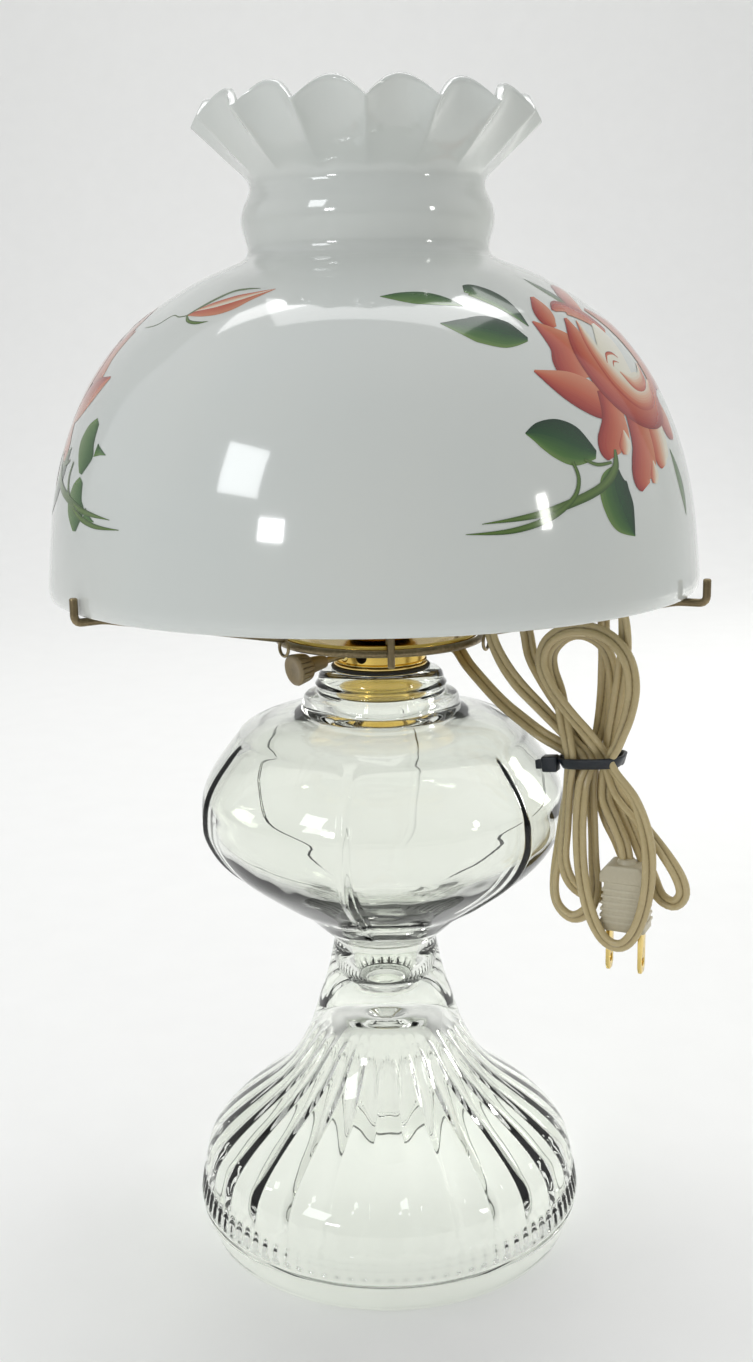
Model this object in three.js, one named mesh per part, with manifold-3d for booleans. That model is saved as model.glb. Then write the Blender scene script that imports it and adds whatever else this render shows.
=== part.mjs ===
// An electrified oil lamp: pressed glass foot and font, brass burner with a socket, a wire tripod
// that carries a crimped opal shade, and a flat twin cord tied in a hank over one tripod arm.
// Millimetres, +Z up, origin at the middle of the foot's underside. Azimuth 0 looks out along -Y and
// grows towards +X.
import * as THREE from "three";
import { mergeVertices } from "three/addons/utils/BufferGeometryUtils.js";
import Module from "manifold-3d";

const wasm = await Module();
wasm.setup();

// ---------------------------------------------------------------- driving dimensions
const FIT_GAP = 0.3; // between pieces that touch on the real lamp

const FOOT = {
  radius: 80.7, // at the mould seam
  base_taper: 4.1, // the ring narrows by this much down to the floor
  ring_height: 14, // plain ring under the seam
  height: 127.85,
  waist_radius: 21.2,
  wall: 5.2,
  hollow_top: 92,
  well_radius: 14.5,
  well_depth: 22,
};

const FONT = {
  height: 98, // from the waist to the top of the bowl's shoulder
  radius: 75.1,
  wall: 4.5,
  tier_radius: 31.7,
  tier_height: 5.4,
  neck_radius: 25.7,
  neck_height: 9.8,
  mouth_radius: 18.3,
};

const COLLAR = { wall: 1.6, depth: 13, flange: 1.0, reach: 0.5 }; // reach is past the mouth
const GASKET = { reach: 1.6, thickness: 1.3 }; // reach is past the mouth
const BURNER = { step_in: 0.6, height: 7.4, wall: 0.9, vent_radius: 2.35, vent_azimuth: -25 };
const DISH = { radius: 38, floor_radius: 22, depth: 3.4, sheet: 0.8, bead: 1.2 };

const SWITCH = { radius: 12.5, height: 15.5, shaft_rise: 6.2 }; // rise over the burner's floor
const KNOB = {
  radius: 6.3,
  back_radius: 5.2,
  thickness: 7,
  boss_length: 8.2,
  azimuth: -53,
  droop: 7, // degrees below level, outwards
  reach: 43, // from the lamp's axis to the knob's face
  flutes: 18,
};
const SHAFT = { radius: 1.3, bushing_radius: 2.6, bushing_length: 3.4 };

const NIPPLE = { radius: 4.8, bore: 3.4 };
const SOCKET = { room: 0.65, height: 46, wall: 0.6, liner: 0.9, base_height: 7 };
const SCREW_SHELL = { play: 0.8, wall: 0.5, height: 18, pitch: 3.6, relief: 0.35 };
const BULB = { radius: 30, height: 106, cap_radius: 12.45, cap_height: 24, glass: 0.8, neck_step: 1.05 };

const WIRE = 3.0; // tripod wire diameter
const TRIPOD = {
  arm_azimuths: [65, -55, 185],
  clip_azimuths: [5, 125, 245],
  arm_inner_rise: 3.4, // arm end above the ring
  rise: 16.2, // from the arm's inner end to its level end
  level_run: 11.1, // level end of the arm, up to the hook
  hook_height: 9,
  bend: 2.8,
  eye_radius: 3.2,
  eye_wire: 1.3,
  clip_reach: 5, // below the ring
  clip_loop: 9.8, // above the ring
};

const SHADE = {
  radius: 127.3,
  shift_x: -2, // it sits a little to the left on its hooks
  wall: 3.2,
  dome_height: 124.3,
  throat_radius: 46,
  waist_radius: 44.7,
  bulge_radius: 48.2,
  crown_radius: 65,
  height: 179.6,
  crimps: 16,
  crimp_out: 5.5, // how much farther out the valleys lean than the crimps
  crimp_drop: 8.5,
};

const CORD = {
  thickness: 4, // round stand-in for the flat twin section
  exit_azimuth: 112,
  exit_height: 3.7, // above the flange
  bushing_radius: 3.6,
  bushing_length: 8.5,
};

const HANK = {
  arm: 0, // which tripod arm carries it
  reach: 89.1, // radius of the tie
  drop: 56.34, // from the arm down to the tie
  waist: 22,
  thickness: 13,
};
const TIE = { band: 1.3, height: 4.6, tilt: 6, head: [6.5, 6, 5.6] };
const PLUG = {
  along: 14.2, // from the tie, along the arm
  top: -39.6, // from the tie, up
  width: 19,
  depth: 12.4,
  length: 27,
  shoulder: 7,
  blade: [6.4, 1.5, 17],
  narrow_blade_width: 6.1,
  blade_pitch: 12.7 / 2,
};

/** Sides of round pieces, by size. */
const SIDES = { shade: 64, glass: 28, burner: 28, socket: 18, small: 12, wire: 8 };

// ---------------------------------------------------------------- derived heights
const waistTop = FOOT.height + FIT_GAP;
const shoulderTop = waistTop + FONT.height - 0.5;
const lipTop = shoulderTop + FONT.tier_height + FONT.neck_height;
const gasketTop = lipTop + FIT_GAP + GASKET.thickness;
const flangeTop = gasketTop + FIT_GAP + COLLAR.flange;
const bodyFloor = flangeTop + FIT_GAP;
const bodyTop = bodyFloor + BURNER.height;
const dishFloor = bodyTop + FIT_GAP;
const dishRim = dishFloor + DISH.depth;
const baseRadius = FOOT.radius - FOOT.base_taper;
const gasketRadius = FONT.mouth_radius + GASKET.reach;
const flangeRadius = FONT.mouth_radius + COLLAR.reach;
const burnerRadius = flangeRadius - BURNER.step_in;
const shellRadius = BULB.cap_radius + SCREW_SHELL.play;
const socketRadius =
  shellRadius + SCREW_SHELL.wall + SOCKET.room + SOCKET.liner + FIT_GAP + SOCKET.wall;
const ringRadius = DISH.radius + DISH.bead + FIT_GAP + WIRE / 2;
const ringHeight = dishRim - 1.2;
const armStart = ringHeight + TRIPOD.arm_inner_rise;
const armLevel = armStart + TRIPOD.rise;
const hookRadius = SHADE.radius + Math.abs(SHADE.shift_x) + FIT_GAP + WIRE / 2;
const levelFrom = hookRadius - TRIPOD.level_run;
const shadeFloor = armLevel + WIRE / 2 + FIT_GAP;
const socketFloor = dishFloor + DISH.sheet + FIT_GAP;
const bulbFloor = socketFloor + SOCKET.base_height + 3.2;

// ---------------------------------------------------------------- materials
const finish = (color, roughness, metalness = 0) =>
  new THREE.MeshStandardMaterial({ color, roughness, metalness });
const MATERIALS = {
  clear_glass: finish(0xcfd6cc, 0.05),
  opal_glass: finish(0xc9ccca, 0.12),
  bright_brass: finish(0xc79a3b, 0.18, 1),
  antique_brass: finish(0x5f523a, 0.35, 1),
  plated_steel: finish(0xb9bbbd, 0.25, 1),
  black_rubber: finish(0x121314, 0.7),
  phenolic: finish(0x1c1a18, 0.45),
  fibre: finish(0x6b5637, 0.8),
  khaki_plastic: finish(0x7a6847, 0.5),
  cord_vinyl: finish(0xb09a66, 0.4),
  plug_vinyl: finish(0xb7ab8a, 0.45),
  bulb_glass: finish(0xe8e8e4, 0.2),
};

// ---------------------------------------------------------------- shape helpers
const rad = THREE.MathUtils.degToRad;
const v2 = (x, y) => new THREE.Vector2(x, y);
const v3 = (x, y, z) => new THREE.Vector3(x, y, z);

/** A point at a radius, azimuth in degrees and height. */
function polar(radius, azimuth, z) {
  return v3(radius * Math.sin(rad(azimuth)), -radius * Math.cos(rad(azimuth)), z);
}

/** Points of a smooth curve through a few [r, z] pairs. */
function smooth(pairs, divisions) {
  const curve = new THREE.SplineCurve(pairs.map(([r, z]) => v2(r, z)));
  return curve.getPoints(divisions);
}

/** Points on an arc in the profile plane, angles in degrees. */
function arc(cx, cz, radius, from, to, divisions) {
  const points = [];
  for (let i = 0; i <= divisions; i++) {
    const a = rad(from + ((to - from) * i) / divisions);
    points.push(v2(cx + radius * Math.cos(a), cz + radius * Math.sin(a)));
  }
  return points;
}

/** A solid turned about Z from an [r, z] outline, given either way round. */
function turned(outline, segments = 32) {
  const points = outline.map((p) => (Array.isArray(p) ? v2(...p) : p.clone()));
  const open = points[0].x < 1e-6 && points.at(-1).x < 1e-6;
  if (!open) points.push(points[0].clone());
  if (THREE.ShapeUtils.area(points) > 0) points.reverse();
  points.reverse();
  const geometry = new THREE.LatheGeometry(points, segments);
  return geometry.rotateX(Math.PI / 2);
}

/** A tube with z-heights from low to high and two radii. */
function sleeve(inner, outer, low, high, segments = 32) {
  return turned([[inner, low], [outer, low], [outer, high], [inner, high]], segments);
}

function circle(radius, sides) {
  const shape = new THREE.Shape();
  for (let i = 0; i < sides; i++) {
    const a = (2 * Math.PI * i) / sides;
    const x = radius * Math.cos(a);
    const y = radius * Math.sin(a);
    if (i === 0) shape.moveTo(x, y);
    else shape.lineTo(x, y);
  }
  shape.closePath();
  return shape;
}

/** A rod that follows a curve. */
function rod(curve, radius, steps, sides = SIDES.wire) {
  const options = { steps, extrudePath: curve, bevelEnabled: false, curveSegments: 1 };
  return new THREE.ExtrudeGeometry(circle(radius, sides), options);
}

/** A path of straight runs joined by round bends of one radius. */
function bentPath(points, bend) {
  const path = new THREE.CurvePath();
  let from = points[0];
  for (let i = 1; i < points.length - 1; i++) {
    const corner = points[i];
    const before = corner.clone().sub(points[i - 1]).normalize();
    const after = points[i + 1].clone().sub(corner).normalize();
    const start = corner.clone().addScaledVector(before, -bend);
    const end = corner.clone().addScaledVector(after, bend);
    path.add(new THREE.LineCurve3(from, start));
    path.add(new THREE.QuadraticBezierCurve3(start, corner, end));
    from = end;
  }
  path.add(new THREE.LineCurve3(from, points.at(-1)));
  return path;
}

/** A block between two corners. */
function block(low, high) {
  const size = high.clone().sub(low);
  const middle = high.clone().add(low).multiplyScalar(0.5);
  return new THREE.BoxGeometry(size.x, size.y, size.z).translate(middle.x, middle.y, middle.z);
}

/** A solid that manifold-3d can cut and join. */
function solid(geometry) {
  const plain = geometry.index ? geometry.toNonIndexed() : geometry.clone();
  plain.deleteAttribute("normal");
  plain.deleteAttribute("uv");
  const merged = mergeVertices(plain, 1e-3);
  return new wasm.Manifold(
    new wasm.Mesh({
      numProp: 3,
      vertProperties: merged.attributes.position.array,
      triVerts: new Uint32Array(merged.index.array),
    }),
  );
}

/** The three.js geometry of a cut or joined solid. */
function geometryOf(manifold) {
  const mesh = manifold.getMesh();
  const geometry = new THREE.BufferGeometry();
  geometry.setAttribute("position", new THREE.BufferAttribute(new Float32Array(mesh.vertProperties), 3));
  geometry.setIndex(new THREE.BufferAttribute(new Uint32Array(mesh.triVerts), 1));
  geometry.computeVertexNormals();
  return geometry;
}

const lamp = new THREE.Group();

function add(name, geometry, material, parent = lamp) {
  const mesh = new THREE.Mesh(geometry, MATERIALS[material]);
  mesh.name = name;
  parent.add(mesh);
  return mesh;
}

// ---------------------------------------------------------------- glass
/** Bell-shaped foot: plain ring, seam groove, dome and stem, hollow from below, oil well on top. */
function glassFoot() {
  const ring = FOOT.ring_height;
  const groove = 0.8;
  const outside = [
    v2(baseRadius - 2.6, 0),
    v2(baseRadius, 1.4),
    v2(FOOT.radius, ring - 1.2),
    v2(FOOT.radius - groove, ring),
    v2(FOOT.radius + 0.3, ring + 1),
    ...smooth(
      [
        [FOOT.radius, ring + 3],
        [FOOT.radius - 1.8, ring + 13.5],
        [FOOT.radius - 4.1, 36],
        [FOOT.radius - 9.7, 43.3],
        [FOOT.radius - 17.8, 51.1],
        [44.3, 66.5],
        [34.2, 82],
        [28.9, 96.7],
        [24.2, 111.5],
        [FOOT.waist_radius, FOOT.height - 2],
      ],
      12,
    ),
    v2(FOOT.waist_radius, FOOT.height),
  ];
  const well = [
    v2(FOOT.well_radius, FOOT.height),
    v2(FOOT.well_radius - 0.5, FOOT.height - FOOT.well_depth + 4),
    v2(FOOT.well_radius - 4, FOOT.height - FOOT.well_depth),
    v2(0, FOOT.height - FOOT.well_depth),
  ];
  const wall = FOOT.wall;
  const hollow = smooth(
    [
      [0, FOOT.hollow_top],
      [12, FOOT.hollow_top - 2],
      [21, 82],
      [33, 67],
      [52, 52.5],
      [FOOT.radius - wall - 8, 38],
      [FOOT.radius - wall - 2.6, 24],
      [FOOT.radius - wall - 2, ring],
    ],
    8,
  );
  const rest = [v2(baseRadius - wall - 1.6, 1.2), v2(baseRadius - wall, 0)];
  return turned([...hollow, ...rest, ...outside, ...well], SIDES.glass);
}

/** Bowl that holds the oil, with the stepped neck. */
function glassFont() {
  const z = waistTop;
  const widest = z + 57;
  const outer = FONT.radius;
  const outside = [
    v2(FOOT.waist_radius, z),
    ...smooth(
      [
        [FOOT.waist_radius + 1, z + 1.6],
        [outer - 40, z + 12],
        [outer - 27, z + 20.5],
        [outer - 9.7, z + 34.3],
        [outer - 1.5, z + 46.8],
        [outer, widest],
        [outer - 2.2, z + 67.3],
        [outer - 9.1, z + 78.2],
        [outer - 20.6, z + 90.4],
        [FONT.tier_radius + 2, shoulderTop - 1],
      ],
      12,
    ),
  ];
  const tierTop = shoulderTop + FONT.tier_height;
  const neckTop = tierTop + FONT.neck_height;
  const neck = [
    v2(FONT.tier_radius - 0.4, shoulderTop),
    v2(FONT.tier_radius, shoulderTop + 1.6),
    v2(FONT.tier_radius - 0.9, tierTop - 1),
    v2(FONT.neck_radius + 1.4, tierTop),
    v2(FONT.neck_radius, tierTop + 1),
    v2(FONT.neck_radius, tierTop + 2.6),
    v2(FONT.neck_radius + 0.8, tierTop + 3.6),
    v2(FONT.neck_radius, tierTop + 4.6),
    v2(FONT.neck_radius - 1, neckTop - 3),
    v2(FONT.mouth_radius + 3.4, neckTop),
    v2(FONT.mouth_radius, neckTop),
  ];
  const inner = outer - FONT.wall;
  const inside = [
    v2(FONT.mouth_radius, shoulderTop + 1),
    ...smooth(
      [
        [FONT.mouth_radius + 5, shoulderTop - 4],
        [inner - 22, z + 87.5],
        [inner - 9.5, z + 76.5],
        [inner, widest],
        [inner - 1.6, z + 47.5],
        [inner - 9.7, z + 37],
        [inner - 27, z + 24],
        [inner - 40, z + 16.5],
        [FOOT.well_radius + 0.8, z + 8],
      ],
      9,
    ),
    v2(FOOT.well_radius, z),
  ];
  return turned([...outside, ...neck, ...inside], SIDES.glass);
}

function buildGlass() {
  add("glass_foot", glassFoot(), "clear_glass");
  add("glass_font", glassFont(), "clear_glass");
}

// ---------------------------------------------------------------- burner
/** The knob's shaft line, from the lamp's axis outwards. */
const knobDirection = polar(Math.cos(rad(KNOB.droop)), KNOB.azimuth, -Math.sin(rad(KNOB.droop)));
const shaftOrigin = v3(0, 0, bodyFloor + SWITCH.shaft_rise);

/** Turns a piece that was made along +Z, from z = 0 on the lamp's axis, onto the shaft line. */
function ontoShaft(geometry) {
  const turn = new THREE.Quaternion().setFromUnitVectors(v3(0, 0, 1), knobDirection);
  return geometry.applyQuaternion(turn).translate(0, 0, shaftOrigin.z);
}

const cordOut = polar(1, CORD.exit_azimuth, 0);
const cordExitHeight = flangeTop + CORD.exit_height;

/** Turns a piece that was made along +Z onto the cord's exit line. */
function ontoCordExit(geometry) {
  const turn = new THREE.Quaternion().setFromUnitVectors(v3(0, 0, 1), cordOut);
  return geometry.applyQuaternion(turn).translate(0, 0, cordExitHeight);
}

/** Round cutter along a level azimuth, through the burner's wall only. */
function radialCutter(radius, azimuth, z) {
  const start = polar(burnerRadius - 4, azimuth, z);
  const end = polar(burnerRadius + 4, azimuth, z);
  return solid(rod(new THREE.LineCurve3(start, end), radius, 1, 16));
}

function burnerBody() {
  const wall = BURNER.wall;
  const lid = 1;
  const drum = turned(
    [
      [burnerRadius - wall, bodyFloor],
      [burnerRadius, bodyFloor],
      [burnerRadius, bodyTop],
      [NIPPLE.radius + FIT_GAP, bodyTop],
      [NIPPLE.radius + FIT_GAP, bodyTop - lid],
      [burnerRadius - wall, bodyTop - lid],
    ],
    SIDES.burner,
  );
  const middle = (bodyFloor + bodyTop) / 2;
  const shaftHole = solid(ontoShaft(bar(SHAFT.bushing_radius + FIT_GAP, 12, 24)));
  const cordHole = solid(ontoCordExit(bar(CORD.bushing_radius - 0.7 + FIT_GAP, 12, 24)));
  const cut = solid(drum)
    .subtract(radialCutter(BURNER.vent_radius, BURNER.vent_azimuth, middle))
    .subtract(shaftHole)
    .subtract(cordHole);
  return geometryOf(cut);
}

/** A plain round bar along +Z. */
function bar(radius, low, high, segments = 16) {
  return turned([[0, low], [radius, low], [radius, high], [0, high]], segments);
}

function galleryDish() {
  const sheet = DISH.sheet;
  const low = dishFloor;
  const rim = dishRim;
  const slope = DISH.radius - DISH.bead;
  const outline = [
    v2(NIPPLE.radius + FIT_GAP, low),
    v2(DISH.floor_radius, low),
    ...smooth([[DISH.floor_radius + 3, low + 0.2], [slope - 6, low + 1.6], [slope, rim - 1.2]], 3),
    ...arc(DISH.radius, rim, DISH.bead, 230, 500, 6),
    ...smooth([[slope - 0.5, rim - 0.6], [slope - 6.4, low + 2.3], [DISH.floor_radius + 3, low + 1]], 3),
    v2(DISH.floor_radius, low + sheet),
    v2(NIPPLE.radius + FIT_GAP, low + sheet),
  ];
  return turned(outline, SIDES.burner);
}

function knob() {
  const face = KNOB.reach;
  const back = face - KNOB.thickness;
  const bossStart = back - KNOB.boss_length;
  const blank = turned(
    [
      [0, face],
      [KNOB.radius - 0.8, face],
      [KNOB.radius, face - 0.8],
      [KNOB.back_radius, back],
      [3.4, back - 0.6],
      [2.5, bossStart],
      [0, bossStart],
    ],
    2 * KNOB.flutes,
  );
  let cut = solid(blank);
  for (let i = 0; i < KNOB.flutes; i++) {
    const a = (2 * Math.PI * i) / KNOB.flutes;
    const spread = 0.45;
    const outwards = v3(Math.cos(a), Math.sin(a), 0);
    const start = outwards.clone().multiplyScalar(KNOB.back_radius + spread).setZ(back - 1);
    const end = outwards.clone().multiplyScalar(KNOB.radius + spread).setZ(face - 1.4);
    cut = cut.subtract(solid(rod(new THREE.LineCurve3(start, end), 0.62, 1, 6)));
  }
  cut = cut.subtract(solid(bar(SHAFT.radius + FIT_GAP, bossStart - 1, bossStart + 6, 12)));
  return ontoShaft(geometryOf(cut));
}

function buildBurner() {
  const mouth = FONT.mouth_radius - FIT_GAP;
  const bore = mouth - COLLAR.wall;
  add("neck_gasket", sleeve(mouth, gasketRadius, lipTop + FIT_GAP, gasketTop, SIDES.burner), "black_rubber");
  const collar = [
    [bore, lipTop - COLLAR.depth],
    [mouth - FIT_GAP, lipTop - COLLAR.depth],
    [mouth - FIT_GAP, gasketTop + FIT_GAP],
    [flangeRadius, gasketTop + FIT_GAP],
    [flangeRadius, flangeTop],
    [bore, flangeTop],
  ];
  add("burner_collar", turned(collar, SIDES.burner), "bright_brass");
  add("burner_body", burnerBody(), "bright_brass");
  add("gallery_dish", galleryDish(), "bright_brass");

  const housingTop = bodyTop - 1 - FIT_GAP;
  const housingLow = housingTop - SWITCH.height;
  const housing = solid(sleeve(NIPPLE.radius + FIT_GAP, SWITCH.radius, housingLow, housingTop, SIDES.socket));
  const shaftSocket = solid(ontoShaft(bar(SHAFT.radius + FIT_GAP, 9, 20, 12)));
  add("switch_housing", geometryOf(housing.subtract(shaftSocket)), "phenolic");

  const bushing = sleeve(
    SHAFT.radius + FIT_GAP,
    SHAFT.bushing_radius,
    burnerRadius - 2.6,
    burnerRadius - 2.6 + SHAFT.bushing_length,
    SIDES.small,
  );
  add("shaft_bushing", ontoShaft(bushing), "bright_brass");
  const shaftEnd = KNOB.reach - KNOB.thickness - KNOB.boss_length + 5.5;
  add("knob_shaft", ontoShaft(bar(SHAFT.radius, 9.6, shaftEnd, 12)), "antique_brass");
  add("switch_knob", knob(), "khaki_plastic");

  const outlet = turned(
    [
      [CORD.thickness / 2 + FIT_GAP, burnerRadius - 2.4],
      [CORD.bushing_radius - 0.7, burnerRadius - 2.4],
      [CORD.bushing_radius - 0.7, burnerRadius + 0.4],
      [CORD.bushing_radius, burnerRadius + 0.4],
      [CORD.bushing_radius, burnerRadius + 1.8],
      [CORD.thickness / 2 + 0.9, burnerRadius + CORD.bushing_length],
      [CORD.thickness / 2 + FIT_GAP, burnerRadius + CORD.bushing_length],
    ],
    SIDES.small,
  );
  add("cord_bushing", ontoCordExit(outlet), "phenolic");
}

// ---------------------------------------------------------------- socket and bulb
/** A profile wall with rounded rolled threads between two heights. */
function threadWave(radius, low, high, pitch, relief) {
  const points = [];
  const count = Math.floor((high - low) / pitch);
  for (let i = 0; i < count; i++) {
    points.push(v2(radius, low + i * pitch));
    points.push(v2(radius - relief, low + (i + 0.5) * pitch));
  }
  points.push(v2(radius, low + count * pitch));
  return points;
}

function buildSocket() {
  const low = socketFloor;
  const top = low + SOCKET.height;
  const outer = socketRadius;
  const hole = NIPPLE.radius + FIT_GAP;
  const shell = [
    [hole, low],
    [outer - 4, low],
    [outer, low + 4],
    [outer, top - 1],
    [outer + 0.5, top],
    [outer - SOCKET.wall, top],
    [outer - SOCKET.wall, low + 4.3],
    [outer - 4.3, low + SOCKET.wall],
    [hole, low + SOCKET.wall],
  ];
  add("socket_shell", turned(shell, SIDES.socket), "bright_brass");
  const linerOut = outer - SOCKET.wall - FIT_GAP;
  const linerIn = linerOut - SOCKET.liner;
  const baseFloor = low + SOCKET.wall + FIT_GAP;
  const baseTop = baseFloor + SOCKET.base_height;
  add("socket_liner", sleeve(linerIn, linerOut, baseTop + FIT_GAP, top - 0.6, SIDES.socket), "fibre");
  const base = [
    [hole, baseFloor + 2],
    [hole, baseFloor],
    [outer - 5, baseFloor],
    [linerOut - 0.2, baseFloor + 3.6],
    [linerOut - 0.2, baseTop],
    [4, baseTop],
    [4, baseFloor + 2],
  ];
  add("socket_base", turned(base, SIDES.socket), "phenolic");

  const wallOut = shellRadius + SCREW_SHELL.wall;
  const shellLow = baseTop + FIT_GAP;
  const shellHigh = shellLow + SCREW_SHELL.height;
  const outside = threadWave(wallOut, shellLow, shellHigh, SCREW_SHELL.pitch, SCREW_SHELL.relief);
  const inside = threadWave(shellRadius, shellLow, shellHigh, SCREW_SHELL.pitch, SCREW_SHELL.relief);
  add("socket_screw_shell", turned([...outside, ...inside.reverse()], SIDES.small), "plated_steel");

  const contact = [[0, baseFloor + 2.4], [3.4, baseFloor + 2.4], [3.4, baseTop + 1], [2, baseTop + 2], [0, baseTop + 2]];
  add("centre_contact", turned(contact, 16), "bright_brass");

  const nippleLow = bodyTop - 1 - FIT_GAP - SWITCH.height;
  add("threaded_nipple", sleeve(NIPPLE.bore, NIPPLE.radius, nippleLow, baseFloor + 1.7, 20), "plated_steel");
  const nut = new THREE.CylinderGeometry(7.2, 7.2, 2.6, 6).rotateX(Math.PI / 2);
  const nutMiddle = nippleLow + 2.6 / 2 - 3.4;
  const nutBored = solid(nut.translate(0, 0, nutMiddle)).subtract(
    solid(bar(NIPPLE.bore, nutMiddle - 3, nutMiddle + 3, 20)),
  );
  add("nipple_locknut", geometryOf(nutBored), "plated_steel");
}

function buildBulb() {
  const low = bulbFloor;
  const capTop = low + BULB.cap_height;
  const contactTop = low + 1.2;
  add("bulb_contact", turned([[0, low], [3.2, low], [4.2, contactTop], [0, contactTop]], 16), "plated_steel");
  const capLow = contactTop + FIT_GAP + 1.4;
  const threads = threadWave(BULB.cap_radius, capLow + 2.2, capTop - 1, SCREW_SHELL.pitch, SCREW_SHELL.relief);
  const bore = BULB.cap_radius - 1;
  const cap = [
    [0, contactTop + FIT_GAP],
    [6.5, contactTop + FIT_GAP],
    [BULB.cap_radius - 0.6, capLow],
    ...threads.map((p) => [p.x, p.y]),
    [bore, capTop - 0.6],
    [bore, capLow + 2.6],
    [0, capLow + 2.6],
  ];
  add("bulb_cap", turned(cap, SIDES.small), "plated_steel");

  const centre = low + BULB.height - BULB.radius;
  const neckLow = capTop - 6;
  const neck = BULB.cap_radius - BULB.neck_step - FIT_GAP - 0.2;
  const join = neckLow + 7;
  const outside = [
    v2(neck, neckLow),
    v2(neck, join),
    ...smooth([[neck + 1, join + 3], [17.5, centre - 29], [26, centre - 14]], 4),
    ...arc(0, centre, BULB.radius, -15, 90, 6),
  ];
  const inside = outside.map((p) => {
    const out = Math.max(p.x - BULB.glass, 0);
    return v2(out, p.y > centre ? p.y - BULB.glass * Math.sqrt(1 - (p.x / BULB.radius) ** 2) : p.y);
  });
  add("bulb_glass", turned([...outside, ...inside.reverse()], SIDES.socket), "bulb_glass");
}

// ---------------------------------------------------------------- tripod
const armInner = ringRadius + WIRE + FIT_GAP;

/** Height of the middle of an arm's wire at a radius. */
function armHeight(radius) {
  const t = Math.min((radius - armInner) / (levelFrom - armInner), 1);
  return armStart + TRIPOD.rise * t;
}
const tieHeight = armHeight(HANK.reach) - HANK.drop;

function armPath(azimuth) {
  const points = [
    polar(armInner, azimuth, armStart),
    polar(levelFrom, azimuth, armLevel),
    polar(hookRadius, azimuth, armLevel),
    polar(hookRadius, azimuth, armLevel + TRIPOD.hook_height),
  ];
  return bentPath(points, TRIPOD.bend);
}

function tripodArm(azimuth) {
  const wire = solid(rod(armPath(azimuth), WIRE / 2, 16));
  const eye = new THREE.TorusGeometry(TRIPOD.eye_radius, TRIPOD.eye_wire / 2, 6, 12);
  const centre = polar(armInner + 1.2, azimuth, armStart - TRIPOD.eye_radius);
  eye.rotateX(Math.PI / 2).rotateZ(rad(azimuth)).translate(centre.x, centre.y, centre.z);
  return geometryOf(wire.add(solid(eye)));
}

/** A hook over the dish's edge: a long leg outside the ring and a short one that rests on the bead. */
function tripodClip(azimuth) {
  const outer = ringRadius + WIRE + FIT_GAP;
  const inner = DISH.radius - 0.4;
  const top = ringHeight + TRIPOD.clip_loop;
  const points = [
    polar(outer, azimuth, ringHeight - TRIPOD.clip_reach),
    polar(outer, azimuth, top),
    polar(inner, azimuth, top),
    polar(inner, azimuth, dishRim + DISH.bead + FIT_GAP),
  ];
  return rod(bentPath(points, (outer - inner) / 2.05), WIRE / 2 - 0.1, 12);
}

function buildTripod() {
  const ring = new THREE.TorusGeometry(ringRadius, WIRE / 2, SIDES.wire, SIDES.burner).translate(0, 0, ringHeight);
  add("tripod_ring", ring, "antique_brass");
  TRIPOD.arm_azimuths.forEach((azimuth, i) => {
    add("tripod_arm_" + (i + 1), tripodArm(azimuth), "antique_brass");
  });
  TRIPOD.clip_azimuths.forEach((azimuth, i) => {
    add("tripod_clip_" + (i + 1), tripodClip(azimuth), "antique_brass");
  });
}

// ---------------------------------------------------------------- shade
/** How high a point of the crown stands, from 0 in a valley to 1 on a crimp. */
function crimpAt(angle) {
  return Math.abs(Math.sin((SHADE.crimps / 2) * angle)) ** 0.8;
}

/** Opal dome with a waisted neck and a crimped, flared crown; open at both ends. */
function shadeGeometry() {
  const outer = SHADE.radius;
  const dome = SHADE.dome_height;
  const waist = dome + 27;
  const top = SHADE.height;
  const throat = SHADE.throat_radius;
  const outside = [
    v2(outer - 1.4, 0),
    v2(outer, 1.4),
    ...smooth(
      [
        [outer - 0.6, 10],
        [outer - 3.8, 36],
        [outer - 10.2, 59.3],
        [outer - 21, 81.5],
        [outer - 36.3, 99.8],
        [outer - 57.3, 114.4],
        [throat + 7, dome - 3],
      ],
      8,
    ),
    v2(throat, dome + 3.5),
    v2(SHADE.bulge_radius, dome + 12.5),
    v2(SHADE.waist_radius, waist),
    ...smooth(
      [
        [SHADE.waist_radius + 2, waist + 4.4],
        [SHADE.waist_radius + 8.6, waist + 12.3],
        [SHADE.crown_radius, top],
      ],
      3,
    ),
  ];
  const wall = SHADE.wall;
  const drop = wall * 0.35;
  const inside = outside.map((p) => v2(p.x - wall, p.y <= 1.4 ? p.y : p.y - drop));
  inside[0] = v2(outer - wall - 0.4, 0);
  inside[1] = v2(outer - wall, 1.4);
  inside[inside.length - 1] = v2(SHADE.crown_radius - wall * 0.8, top + 0.6);
  const geometry = turned([...outside, ...inside.reverse()], SIDES.shade);
  const position = geometry.getAttribute("position");
  for (let i = 0; i < position.count; i++) {
    const x = position.getX(i);
    const y = position.getY(i);
    const z = position.getZ(i);
    const share = Math.max((z - waist + 2) / (top - waist + 2), 0) ** 1.5;
    const crimp = crimpAt(Math.atan2(y, x));
    const scale = 1 + (SHADE.crimp_out * share * (0.35 - crimp)) / Math.hypot(x, y);
    position.setXYZ(i, x * scale, y * scale, z + SHADE.crimp_drop * share * (crimp - 1));
  }
  return geometry;
}

function buildShade() {
  const shade = add("shade", shadeGeometry(), "opal_glass");
  shade.position.set(SHADE.shift_x, 0, shadeFloor);
}

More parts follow.
